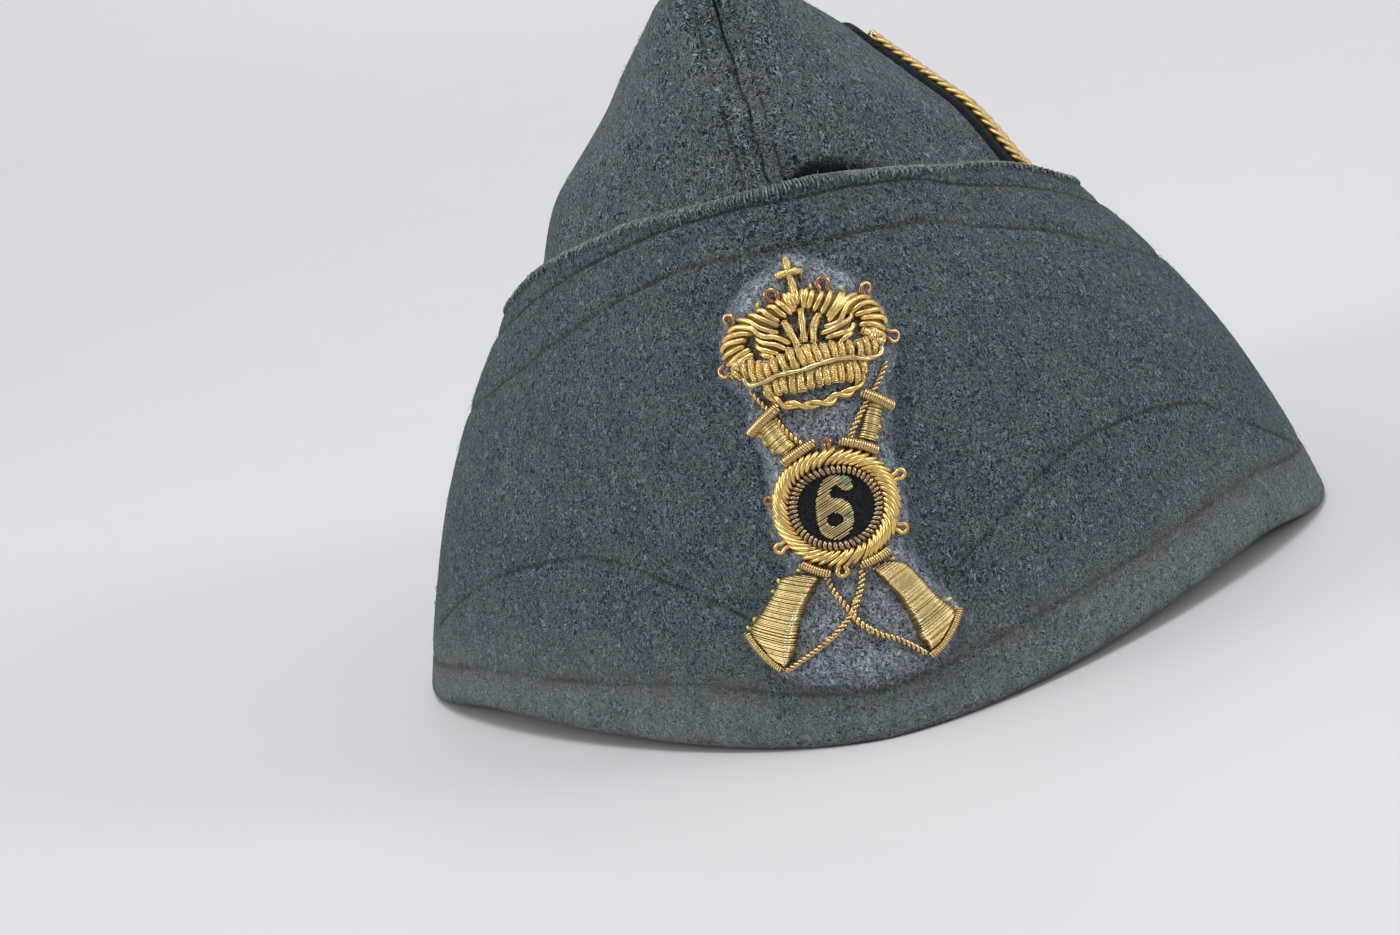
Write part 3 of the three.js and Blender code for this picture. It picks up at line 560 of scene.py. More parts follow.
@dataclass(frozen=True)
class Wool:
    """Felted wool, spun from light and dark fibres."""

    name: str
    dark: Color = linear(6, 19, 29)
    middle: Color = linear(42, 69, 82)
    light: Color = linear(170, 183, 187)
    beige: Color = linear(166, 157, 136)
    brown: Color = linear(74, 57, 40)
    thread: Color = linear(34, 29, 30)
    # Pale tint near the rim: partly dusty cloth, partly painted light thrown up from below.
    dust_and_painted_light: Color = linear(134, 142, 144)
    stain: Color = linear(96, 76, 58)
    speck: Color = linear(120, 42, 52)
    wear_and_glint: Color = linear(54, 70, 79)
    casts: tuple[Color, Color] = ((1.08, .98, .9), (.9, 1, 1.06))
    fleck: float = .6
    fibre: float = 1.1
    paleness: float = .9
    sparse: float = 0
    specks: bool = False
    marks: tuple[Mark, ...] = ()

    def fibres(self, shader: Shader, size: float, width: float, turn: float) -> Signal:
        """Curly lines, 1 along a fibre and 0 off it."""
        where = shader.turned((turn, turn * 2, turn * 3))
        return abs(shader.noise(size, 2, .6, 1.1, where) - .5).between(width, 0)

    def make(self) -> Material:
        """Builds the material."""
        s = Shader(self.name)
        fleck = s.noise(self.fleck, 3, .75)
        blotch = s.noise(self.fleck * 3.4, 2, .55)
        cloud = s.noise(9, 2, .6).between(.34, .66)
        tone = (fleck * .66 + blotch * .34).between(.44 + self.sparse, .57 + self.sparse)
        middle = s.blend(cloud, *(tuple(c * k for c, k in zip(self.middle, cast))
                                  for cast in self.casts))
        color = s.blend(tone, self.dark, middle)
        if Mark.FIRST in self.marks:
            above = s.attribute(Mark.RIM)
            # Paler towards the rim: partly dusty cloth, partly painted light thrown up from below.
            dust_and_painted_light = (s.noise(5, 2).between(.2, .8) * .5 + .5) * above.between(26, 3)
            color = s.blend(dust_and_painted_light * (above.between(14, 8) * .3 + .45), color, self.dust_and_painted_light)
        pale, warm, fine, deep = (
            self.fibres(s, self.fibre * share, width, turn) for share, width, turn in
            ((1, .05, .6), (.8, .04, 1.7), (.5, .06, 2.9), (.9, .07, 4.1)))
        patchy = blotch.between(.42, .6)
        color = s.blend(deep * .9, color, self.dark)
        color = s.blend(pale * (patchy * .75 + .25) * self.paleness, color, self.light)
        color = s.blend(warm * (cloud * .6 + .3) * self.paleness * .9, color, self.beige)
        color = s.blend(fine * (1 - patchy) * self.paleness * .6, color, self.light)
        if self.specks:
            speck = s.noise(1.2, 0).between(.8, .82)
            color = s.blend(speck * .8, color, self.speck)
        height = tone * .6 + pale * .5 + warm * .4 + fine * .25 - deep * .4
        if Mark.FIRST in self.marks:
            color, height = self.mark_turn_up(s, color, height)
        if Mark.SEAM in self.marks:
            color, height = self.mark_seam(s, color, height)
        if Mark.CUT in self.marks:
            wear_and_glint = (s.attribute(Mark.CUT) + s.noise(2.6, 2) * 4.4).between(3.6, 2.5)
            color = s.blend(wear_and_glint * .62, color, self.wear_and_glint)
        if Mark.EDGE in self.marks:
            between = s.attribute(Mark.EDGE).between(3.1, 2.5)
            color = s.blend(between * .3, color, self.dark)
        return s.surface(Base_Color=color, Roughness=.93, Sheen_Weight=.1,
                         Sheen_Roughness=.45, Sheen_Tint=linear(160, 178, 184),
                         Specular_IOR_Level=.12, Normal=s.bump(height, .22, 1))

    def mark_seam(self, s: Shader, color: Signal, height: Signal) -> tuple[Signal, Signal]:
        """Draws the crown's seam, its topstitching, the wear beside it and a painted shadow just
        above the turn-up's edge beside the badge.
        """
        seam = s.attribute(Mark.SEAM)
        wobble = s.noise(2.5, 2) * .5 - .25
        groove = (seam + wobble).between(.34, .04)
        line = abs(seam - TOPSTITCH[-1] + wobble).between(.55, .05) * s.noise(5, 2).between(.35, .6)
        wear = seam.between(7, 0) * s.noise(3, 3).between(.42, .68)
        color = s.blend(wear * .22, color, self.brown)
        color = s.blend(line * .55, color, self.thread)
        gap = groove * (s.noise(7, 2).between(.36, .6) * .6 + .3)
        color = s.blend(gap, color, tuple(c * .35 for c in self.dark))
        # Painted shadow: the crown goes dark just above the turn-up's edge beside the badge, where
        # the gap behind the edge lies in shade.
        painted_gap_shadow = (s.attribute(Mark.GAP) + wobble).between(5, 3.2)
        color = s.blend(painted_gap_shadow * .92, color, tuple(c * .2 for c in self.dark))
        return color, height - line * .5 - groove

    def mark_turn_up(self, s: Shader, color: Signal, height: Signal) -> tuple[Signal, Signal]:
        """Draws the stitched lines and the stain above the rim.

        Args:
            s: The material's tree.
            color: Its colour so far.
            height: Its height so far.

        Returns:
            The colour and the height with the lines.
        """
        at = {mark: s.attribute(mark) for mark in
              (Mark.FIRST, Mark.SECOND, Mark.RIM, Mark.LOWEST, Mark.ARC)}
        wobble = s.noise(3, 2) * .6 - .3
        uneven = s.noise(12, 2).between(.34, .62)
        first = abs(at[Mark.FIRST] + wobble * .5).between(.5, .05)
        second = abs(at[Mark.SECOND] + wobble * .6).between(.7, .1)
        lowest = abs(at[Mark.LOWEST] + wobble * .6).between(.8, .1)
        third = abs(at[Mark.ARC] + wobble * .6).between(.7, .1)
        stain = abs(at[Mark.LOWEST]).between(3.6, 0) * s.noise(5, 3).between(.36, .62)
        below = at[Mark.RIM].between(4, 0) * s.noise(3, 3).between(.38, .66)
        color = s.blend(stain * .5, color, self.stain)
        color = s.blend(below * .3, color, self.brown)
        color = s.blend(first * .75 + third * .6 * (uneven * .6 + .4), color, self.thread)
        color = s.blend((second * .6 + lowest * .4) * (uneven * .6 + .4), color, self.thread)
        return color, height - (first * .6 + second + lowest + third * .8)


# ---- meshes ----


def store(mesh: bpy.types.Mesh, name: str, values: Array, vectors: bool = False) -> None:
    """Stores a number, or a vector, at each of a mesh's points."""
    layer = mesh.attributes.new(name, "FLOAT_VECTOR" if vectors else "FLOAT", "POINT")
    layer.data.foreach_set("vector" if vectors else "value",
                           np.asarray(values, np.float32).ravel())


def stand(mesh: bpy.types.Mesh) -> Piece:
    """An object of the mesh, linked to the scene."""
    piece = bpy.data.objects.new(mesh.name, mesh)
    bpy.context.scene.collection.objects.link(piece)
    return piece


def new_mesh(name: str, points: Array, faces: Array, material: Material | None = None,
             marks: Mapping[str, Array] | None = None) -> Piece:
    """Makes a smooth mesh object from millimetre points.

    Args:
        name: The piece's name.
        points: Its corners.
        faces: Rows of three or four corner numbers.
        material: Its finish.
        marks: Numbers to store at the corners.

    Returns:
        The object, linked to the scene.
    """
    mesh = bpy.data.meshes.new(name)
    faces = np.asarray(faces, np.int32)
    mesh.vertices.add(len(points))
    mesh.vertices.foreach_set("co", (np.asarray(points) * MM).astype(np.float32).ravel())
    mesh.loops.add(faces.size)
    mesh.loops.foreach_set("vertex_index", faces.ravel())
    mesh.polygons.add(len(faces))
    sides = faces.shape[1]
    mesh.polygons.foreach_set("loop_start", np.arange(len(faces), dtype=np.int32) * sides)
    for key, values in (marks or {}).items():
        store(mesh, key, values)
    mesh.update(calc_edges=True)
    mesh.shade_smooth()
    if material:
        mesh.materials.append(material)
    return stand(mesh)


def loft(name: str, sections: Array, material: Material, ring: bool = False,
         marks: Mapping[str, Array] | None = None) -> Piece:
    """Joins sections, each a closed loop of as many points, into one closed body.

    Args:
        name: The piece's name.
        sections: The loops, in millimetres.
        material: Its finish.
        ring: Whether the last section meets the first. Otherwise the ends are closed by
            pairing each loop's two sides.
        marks: Numbers to store at the points.

    Returns:
        The object, linked to the scene.
    """
    count, size = sections.shape[:2]
    i, k = np.meshgrid(np.arange(count if ring else count - 1), np.arange(size), indexing="ij")
    i, k = i.ravel(), k.ravel()
    ahead, after = (i + 1) % count, (k + 1) % size
    faces = [np.stack([i * size + k, ahead * size + k, ahead * size + after, i * size + after], 1)]
    if not ring:
        k = np.arange(size // 2 - 1)
        across, end = size - 1 - k, (count - 1) * size
        faces.append(np.stack([k, k + 1, across - 1, across], 1))
        faces.append(np.stack([end + k, end + across, end + across - 1, end + k + 1], 1))
    return new_mesh(name, sections.reshape(-1, 3), np.concatenate(faces), material, marks)


def lattice(name: str, sections: Array, material: Material | None = None,
            marks: Mapping[str, Array] | None = None) -> Piece:
    """An open sheet through rows of millimetre points."""
    count, size = sections.shape[:2]
    i, k = np.meshgrid(np.arange(count - 1), np.arange(size - 1), indexing="ij")
    corner = (i * size + k).ravel()
    faces = np.stack([corner, corner + size, corner + size + 1, corner + 1], 1)
    return new_mesh(name, sections.reshape(-1, 3), faces, material, marks)


def settle(piece: Piece, nodes: Sequence[str] = ()) -> Piece:
    """Puts a piece on the frame.

    Args:
        piece: The finished object.
        nodes: The frame's nodes that it stands for.

    Returns:
        The same object.
    """
    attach(piece, BODY)
    if nodes:
        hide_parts(*nodes)
    LOG.info("%s: %d faces", piece.name, len(piece.data.polygons))
    return piece


# ---- the cloth ----

# The stitched lines of the turn-up, by angle in degrees: how far the first two run under its
# edge, and how high the two arcs and the lowest line run.
FIRST_DROP = Table((-180, -90, -66, -58, -50, -42, -30, -18, -6, 0, 12, 24, 36, 42, 48, 54, 60,
                    75, 90, 180),
                   (5, 6, 5.6, 4.9, 4.5, 4.2, 3.2, 2.6, 2.5, 2.9, 3.1, 2.8, 2.8, 3.2, 3.9, 4.6,
                    5.2, 6, 6.2, 5))
SECOND_DROP = Table((-180, -120, -90, -68, -60, -52, -44, -36, -24, -12, 0, 12, 24, 36, 44, 52,
                     60, 68, 76, 90, 120, 180),
                    (13, 15, 18, 17.3, 15.2, 13.8, 12.4, 11.3, 9.7, 9.6, 9.9, 10.3, 9.8, 9.8, 11,
                     12.5, 14.1, 16.2, 17.6, 18, 15, 13))
ARCS = (Table((-84, -70, -58, -47, -33, -23, -9), (13, 22, 28, 31, 27.5, 23, 13)),
        Table((9, 15, 21, 27, 38, 47, 56, 67, 71, 84), (15, 20.5, 24, 27, 31.5, 33, 31.5, 26.5,
                                                     22, 12)))
LOWEST_LINE = Table((-180, -90, -64, -45, -31, -20, 0, 12, 22, 39, 81, 180),
                    (10, 7, 7.5, 9.6, 10.8, 9.8, 8.2, 9, 10, 11, 10.8, 10))
# How far the topstitching runs from the crown's seam, on the wearer's left and right.
TOPSTITCH = {1: 3.0, -1: 3.6}


@dataclass
class Cloth:
    """The two crown panels and the turn-up.

    A lip, dip, puff or pull is how far the cloth goes in or out beside a line, and how wide.
    """

    wall: float = 2
    turn_up: float = 3
    seam_gap: float = 0.03
    parting: float = 0.2
    wander: float = 0.55
    closing: float = 2.5
    hem: float = 3.6
    columns: int = 184
    band_columns: int = 530
    crowding: float = 0.8
    seam_lip: Point = (.27, .22)
    stitch_dip: Point = (.22, .5)
    side_puff: Point = (.25, 1.1)
    edge_pull: Point = (.5, .55)
    line_pull: Point = (.5, .9)
    arc_pull: Point = (.3, 1)
    rim_round: float = 1.6
    margin: float = 15
    foot_height: float = 2
    foot_width: float = 5.6
    foot_round: float = 0.8

    def groove(self, distance: Array, pull: Point) -> Array:
        """How deep the cloth is pulled in beside a line."""
        return pull[0] * np.exp(-np.abs(distance) / pull[1])

    def crown_levels(self, angle: Array) -> Array:
        """Levels up one column, from the hem to the centre line of the top."""
        hem = self.hem / FORM.ridge_height(angle)
        side = lerp(hem[:, None], 1, np.linspace(0, 1, 96)[None, :])
        top = np.broadcast_to(np.linspace(1, 2, 40)[1:], (len(angle), 39))
        return np.hstack([side, top])

    def crown_panel(self, side: int, finish: Material) -> Piece:
        """One panel of the crown.

        Args:
            side: 1 for the wearer's left and -1 for the right.
            finish: Its wool.

        Returns:
            The piece.
        """
        share = np.linspace(0, 1, self.columns)
        turn = math.pi * (share - self.crowding * np.sin(2 * math.pi * share) / (2 * math.pi))
        angle = (side * turn)[:, None]
        level = self.crown_levels(turn)
        rise = np.minimum(level, 1)
        centre = FORM.centre_x(angle, rise)
        from_seam = np.abs(FORM.crown(angle, level)[..., 0] - centre)
        (dip, dip_width), (puff, puff_width) = self.stitch_dip, self.side_puff
        pull = self.groove(from_seam, self.seam_lip)
        pull += dip * bell(from_seam - TOPSTITCH[side], dip_width)
        pull -= puff * bell(from_seam - TOPSTITCH[side] / 2, puff_width)
        drift = FORM.seam_drift(angle, level)
        ahead = np.degrees(turn)[:, None]
        faces = []
        for depth in (pull, np.full_like(pull, self.wall)):
            points = FORM.crown(angle, level, depth)
            inside = np.maximum(0, side * (points[..., 0] - centre))
            parting = self.parting * smoothstep(level, .93, 1) * bell(ahead, 12)
            crest = smoothstep(level, .94, 1) * (1 - smoothstep(level, 1.2, 1.6))
            points[..., 2] += self.closing * bell(from_seam, 3.2) * crest * bell(ahead, 14)
            wander = self.wander * ripple(level * math.pi, 11, range(5, 40, 3), .5)
            points[..., 0] = (centre + side * ((self.seam_gap + parting) / 2 + inside)
                              + wander * np.exp(-inside / 2) + drift * np.exp(-inside / 8))
            faces.append(points)
        sections = np.hstack([faces[0], faces[1][:, ::-1]])
        marks = np.hstack([from_seam, from_seam[:, ::-1]])
        marks = marks * TOPSTITCH[-1] / TOPSTITCH[side]
        # Height over the turn-up's edge, pushed far off away from the badge, for the painted shadow
        # above the edge.
        above = level * FORM.ridge_height(angle) - FORM.edge_height(angle)
        above = above + 6 * (1 - FORM.beside_badge(angle))
        gaps = np.hstack([above, above[:, ::-1]])
        if side < 0:
            sections, marks, gaps = sections[::-1], marks[::-1], gaps[::-1]
        name = "left" if side > 0 else "right"
        piece = loft(f"crown_panel_{name}", sections, finish,
                     marks={Mark.SEAM: marks, Mark.GAP: gaps})
        return settle(piece, [f"crown_{name}"])

    def even_angles(self) -> Array:
        """Angles that are evenly spaced along the wall, half way up."""
        fine = np.linspace(-math.pi, math.pi, 7201)
        gone = path_length(FORM.turn_up(fine, np.full_like(fine, 35)))
        return np.interp(np.linspace(0, gone[-1], self.band_columns + 1)[:-1], gone, fine)

    def arc_distance(self, angle: Array, height: Array) -> Array:
        """How far above the nearer of the two stitched arcs a place is."""
        degrees = np.degrees(angle)
        distance = np.full(np.broadcast(angle, height).shape, 99.0)
        for arc in ARCS:
            inside = (degrees > arc.places[0]) & (degrees < arc.places[-1])
            apart = height - arc(degrees)
            distance = np.where(inside & (np.abs(apart) < np.abs(distance)), apart, distance)
        return distance

    def band(self, finish: Material) -> Piece:
        """The turn-up: doubled cloth with a rolled edge, folded in under the crown's hem."""
        angle = self.even_angles()[:, None]
        edge = FORM.edge_height(angle)
        low = np.linspace(self.rim_round, self.margin, 22)[None, :]
        high = np.linspace(self.margin, 1.8, 24)[None, :]
        middle = lerp(self.margin, edge - self.margin, np.linspace(0, 1, 52)[None, 1:-1])
        heights = np.hstack([np.broadcast_to(low, (len(angle), low.size)), middle, edge - high])
        below, above, degrees = edge - heights, heights, np.degrees(angle)
        drops = {Mark.FIRST: below - FIRST_DROP(degrees),
                 Mark.SECOND: below - SECOND_DROP(degrees),
                 Mark.LOWEST: above - LOWEST_LINE(degrees)}
        arcs = self.arc_distance(angle, heights)
        wave = (.25 * ripple(angle, 3, range(3, 16), .5)
                + .12 * ripple(angle, 4, range(20, 70, 3), 0))
        rolled = .5 * smoothstep(below, 5, 3.2) * (1 - smoothstep(below, 1.2, 0))
        rolled = rolled * (1 - .8 * smoothstep(np.abs(degrees), 50, 78))
        pull = (self.groove(drops[Mark.FIRST], self.edge_pull)
                + self.groove(drops[Mark.SECOND], self.line_pull)
                + self.groove(drops[Mark.LOWEST], self.arc_pull)
                + self.groove(arcs, self.arc_pull)
                - rolled - wave * (above / edge) ** 2 * .5)
        outer = FORM.turn_up(angle, heights, pull)
        bend = np.linspace(0, math.pi, 10)[None, 1:-1]
        radius = self.turn_up / 2
        top = FORM.turn_up(angle, edge - radius + radius * np.sin(bend),
                           radius - radius * np.cos(bend) - .25 * np.sin(bend))
        down = np.linspace(radius, 1, 12)[None, :]
        inner = FORM.turn_up(angle, lerp(self.foot_height + 1, edge - radius,
                                         np.linspace(1, 0, 12)[None, :]), self.turn_up + 0 * down)
        corner = np.linspace(0, math.pi / 2, 6)[None, :]
        outside = FORM.under_rim(angle, self.rim_round * (1 - np.sin(corner)),
                                 self.rim_round * (1 - np.cos(corner)))
        wide, tall, soft = self.foot_width, self.foot_height, self.foot_round
        foot = ((self.turn_up, tall), (wide, tall), (wide, soft), (wide - soft, 0))
        inside = np.stack([FORM.under_rim(angle[:, 0], np.full(len(angle), inward),
                                          np.full(len(angle), up)) for inward, up in foot], 1)
        sections = np.hstack([outside[:, :-1], outer, top, inner, inside])
        count, size = sections.shape[:2]

        def spread(values: Array, low_fill: float, high_fill: float) -> Array:
            """A mark on the outer face, carried on over the rest."""
            before = np.full((count, outside.shape[1] - 1), low_fill)
            after = np.full((count, size - before.shape[1] - values.shape[1]), high_fill)
            return np.hstack([before, values, after])

        fills = {Mark.EDGE: (below, 60, 0), Mark.FIRST: (drops[Mark.FIRST], 60, -9),
                 Mark.SECOND: (drops[Mark.SECOND], 60, -9), Mark.RIM: (above, 0, 60),
                 Mark.LOWEST: (drops[Mark.LOWEST], -9, 60), Mark.ARC: (arcs, 99, 99)}
        marks = {mark: spread(*row) for mark, row in fills.items()}
        return settle(loft("turn_up_band", sections, finish, True, marks),
                      ["turn_up"])

    def build(self) -> None:
        """Makes the cloth."""
        wool = Wool("wool", dark=linear(4, 17, 28), middle=linear(31, 61, 78),
                    light=linear(172, 188, 196), beige=linear(146, 146, 135),
                    paleness=1.1, sparse=.07, marks=(Mark.SEAM,)).make()
        self.crown_panel(1, wool)
        self.crown_panel(-1, wool)
        self.band(Wool("wool_turn_up", middle=linear(30, 60, 75),
                       light=linear(156, 176, 183), beige=linear(156, 150, 132), paleness=.95,
                       marks=(Mark.EDGE, Mark.FIRST)).make())


# ---- threads and wires ----


def spline(points: Sequence[Sequence[float]], spacing: float = .25) -> Array:
    """A smooth curve through points, evenly spaced.

    Args:
        points: Places that it passes, in two or three dimensions.
        spacing: The most between two of its points.

    Returns:
        Its points.
    """
    p = np.asarray(points, float)
    gap = np.sqrt(np.maximum(np.linalg.norm(np.diff(p, axis=0), axis=1), 1e-9))
    t = np.concatenate([[0], np.cumsum(gap)])
    slope = np.diff(p, axis=0) / gap[:, None]
    weight = (gap[:-1] / (gap[:-1] + gap[1:]))[:, None]
    inner = slope[:-1] * (1 - weight) + slope[1:] * weight
    tangent = np.concatenate([slope[:1], inner, slope[-1:]])
    if len(p) > 2:
        tangent[0], tangent[-1] = 2 * slope[0] - inner[0], 2 * slope[-1] - inner[-1]
    fine = np.linspace(0, t[-1], 24 * len(gap) + 1)
    k = np.clip(np.searchsorted(t, fine) - 1, 0, len(gap) - 1)
    h, u = gap[k][:, None], ((fine - t[k]) / gap[k])[:, None]
    curve = (p[k] * (1 + 2 * u) * (1 - u) ** 2 + p[k + 1] * u * u * (3 - 2 * u)
             + h * (tangent[k] * u * (1 - u) ** 2 - tangent[k + 1] * u * u * (1 - u)))
    length = path_length(curve)[-1]
    return at_lengths(curve, np.linspace(0, length, max(2, math.ceil(length / spacing) + 1)))


def path_length(path: Array) -> Array:
    """How far along a path each of its points is."""
    return np.concatenate([[0], np.cumsum(np.linalg.norm(np.diff(path, axis=0), axis=1))])


def at_lengths(path: Array, lengths: Array) -> Array:
    """A path's points at lengths along it."""
    gone = path_length(path)
    return np.stack([np.interp(lengths, gone, column) for column in path.T], 1)


@dataclass
class Thread:
    """A thread, wire or cord along a path, in millimetres."""

    path: Array
    thick: float
    rounded: bool = True
    closed: bool = False
    shade: float | Array = .5
    up: Array | None = None

    def finished(self) -> tuple[Array, Array, Array]:
        """The path, its radius and shade at each point, with rounded ends if it has them."""
        shade = np.broadcast_to(self.shade, len(self.path))
        if not self.rounded or self.closed:
            return self.path, np.full(len(self.path), self.thick), shade
        gone = path_length(self.path)
        cap = self.thick * np.array([0, .06, .25, .6, 1])
        cap = cap[cap < gone[-1] / 2]
        middle = gone[(gone > self.thick * 1.3) & (gone < gone[-1] - self.thick * 1.3)]
        lengths = np.concatenate([cap, middle, gone[-1] - cap[::-1]])
        from_end = np.minimum(lengths, gone[-1] - lengths) / self.thick
        fall = 1 - np.clip(from_end, 0, 1)
        radius = self.thick * np.sqrt(np.maximum(1 - fall ** 2, .02))
        return at_lengths(self.path, lengths), radius, np.interp(lengths, gone, shade)


def lifted(flat: Array, base: float, pad: float = 0, power: float = .7) -> Array:
    """A flat path raised over a pad, lowest at its two ends.

    Args:
        flat: The path.
        base: Its height at the ends.
        pad: How much higher its middle is.
        power: How blunt the rise is, below 1 for a flat top.

    Returns:
        The path with its heights.
    """
    gone = path_length(flat)
    dome = np.sin(np.pi * np.clip(gone / gone[-1], 0, 1)) ** power
    return np.column_stack([flat[:, :2], base + pad * dome])


class Stroke(Graph):
    """A Geometry Nodes tree that works on lines, with named inputs."""

    name = "stroke"
    sizes: Mapping[str, float | int] = {}

    def __init__(self) -> None:
        """Builds the tree."""
        super().__init__(bpy.data.node_groups.new(self.name, "GeometryNodeTree"))
        face = self.tree.interface
        face.new_socket("Geometry", in_out="INPUT", socket_type="NodeSocketGeometry")
        for key, value in self.sizes.items():
            kind = "NodeSocketInt" if isinstance(value, int) else "NodeSocketFloat"
            face.new_socket(key, in_out="INPUT", socket_type=kind).default_value = value
        face.new_socket("Material", in_out="INPUT", socket_type="NodeSocketMaterial")
        face.new_socket("Geometry", in_out="OUTPUT", socket_type="NodeSocketGeometry")
        self.entry = self.tree.nodes.new("NodeGroupInput")
        made = self.body(self.given("Geometry"))
        made = self.add("GeometryNodeRealizeInstances", {"Geometry": made})
        made = self.add("GeometryNodeSetShadeSmooth", {"Geometry": made})
        made = self.add("GeometryNodeSetMaterial", {
            "Geometry": made, "Material": self.given("Material")})
        self.add("NodeGroupOutput", {"Geometry": made})

    def given(self, name: str) -> Signal:
        """One of the tree's inputs."""
        return Signal(self, self.entry.outputs[name])

    def stored(self, name: str) -> Signal:
        """A number stored on the geometry."""
        return self.add("GeometryNodeInputNamedAttribute", {"Name": name}, "Attribute")

    def vector(self, operation: str, *values: Signal | tuple, **more: Signal) -> Signal:
        """A Vector Math node."""
        inputs = {**dict(enumerate(values)), **more}
        return self.add("ShaderNodeVectorMath", inputs, operation=operation)

    def body(self, geometry: Signal) -> Signal:
        """Makes the tree's own part."""
        raise NotImplementedError

    def swept(self, curve: Signal, thick: Signal, sides: Signal) -> Signal:
        """A curve swept by a round section, with its length stored as along."""
        length = self.add("GeometryNodeSplineParameter", output="Length")
        curve = self.add("GeometryNodeStoreNamedAttribute", {
            "Geometry": curve, "Name": "along", "Value": length})
        ring = self.add("GeometryNodeCurvePrimitiveCircle", {"Resolution": sides, "Radius": 1.0})
        return self.add("GeometryNodeCurveToMesh", {
            "Curve": curve, "Profile Curve": ring, "Scale": thick, "Fill Caps": True})

    def run(self, piece: Piece, material: Material,
            **sizes: float | int) -> None:
        """Turns an object's mesh into what the tree makes of it.

        Args:
            piece: The object.
            material: The finish of what is made.
            sizes: The tree's inputs that differ from their usual values.
        """
        modifier = piece.modifiers.new(self.name, "NODES")
        modifier.node_group = self.tree
        sockets = {item.name: item.identifier for item in self.tree.interface.items_tree
                   if item.in_out == "INPUT"}
        for key, value in {**sizes, "Material": material}.items():
            modifier[sockets[key]] = value
        graph = bpy.context.evaluated_depsgraph_get()
        made = bpy.data.meshes.new_from_object(
            piece.evaluated_get(graph), preserve_all_data_layers=True, depsgraph=graph)
        piece.modifiers.remove(modifier)
        old, piece.data = piece.data, made
        bpy.data.meshes.remove(old)

    def work(self, piece: Piece, material: Material, slot: str,
             nodes: Sequence[str] = (), **sizes: float | int) -> None:
        """Runs the tree on an object that lies in the cap's frame, and settles the piece."""
        self.run(piece, material, **sizes)
        place_corners(piece, corners_of(piece))
        settle(piece, nodes)


class Strands(Stroke):
    """Round threads along lines, as thick as the lines' points say."""

    name = "strands"
    sizes = {"Sides": 8}

    def body(self, geometry: Signal) -> Signal:
        """Sweeps the lines."""
        curve = self.add("GeometryNodeMeshToCurve", {"Mesh": geometry})
        return self.swept(curve, self.stored("thick"), self.given("Sides"))


class Coils(Stroke):
    """Wire wound round lines. The points' thick is the coil's radius to the wire's middle."""

    name = "coils"
    sizes = {"Wire": .15, "Pitch": .4, "Steps": 10, "Twist": 0.0, "Phase": 0.0, "Sides": 6}

    def body(self, geometry: Signal) -> Signal:
        """Winds and sweeps the wire."""
        pitch, steps = self.given("Pitch"), self.given("Steps")
        curve = self.add("GeometryNodeMeshToCurve", {"Mesh": geometry})
        curve = self.add("GeometryNodeResampleCurve", {"Curve": curve, "Length": pitch / steps},
                         mode="LENGTH")
        length = self.add("GeometryNodeSplineParameter", output="Length")
        turn = length * (1 / pitch) * (2 * math.pi + self.given("Twist"))
        turn = turn + self.given("Phase") + self.stored("shade") * 9
        normal = self.add("GeometryNodeInputNormal")
        tangent = self.add("GeometryNodeInputTangent")
        side = self.vector("CROSS_PRODUCT", tangent, normal)
        radius = self.stored("thick")
        out = self.vector("SCALE", normal, Scale=turn.cosine() * radius)
        out = self.vector("ADD", out, self.vector("SCALE", side, Scale=turn.sine() * radius))
        curve = self.add("GeometryNodeSetPosition", {"Geometry": curve, "Offset": out})
        return self.swept(curve, self.given("Wire"), self.given("Sides"))


class Stitches(Stroke):
    """Stitches that lie along lines. The points' up says which way is out of the cloth."""

    name = "stitches"
    sizes = {"Pitch": 2.6, "Length": 1.9, "Width": .34, "Height": .22}

    def body(self, geometry: Signal) -> Signal:
        """Lays a rounded stitch at every step."""
        curve = self.add("GeometryNodeMeshToCurve", {"Mesh": geometry})
        curve = self.add("GeometryNodeResampleCurve", {
            "Curve": curve, "Length": self.given("Pitch")}, mode="LENGTH")
        stitch = self.add("GeometryNodeMeshUVSphere", {"Segments": 6, "Rings": 5, "Radius": .5})
        along = self.add("GeometryNodeInputTangent")
        turned = self.add("FunctionNodeAlignRotationToVector", {"Vector": along}, axis="X")
        up = self.add("GeometryNodeInputNamedAttribute", {"Name": "up"}, "Attribute",
                      data_type="FLOAT_VECTOR")
        turned = self.add("FunctionNodeAlignRotationToVector", {
            "Rotation": turned, "Vector": up}, axis="Z", pivot_axis="X")
        size = self.add("ShaderNodeCombineXYZ", {
            "X": self.given("Length"), "Y": self.given("Width"), "Z": self.given("Height")})
        return self.add("GeometryNodeInstanceOnPoints", {
            "Points": curve, "Instance": stitch, "Rotation": turned, "Scale": size})


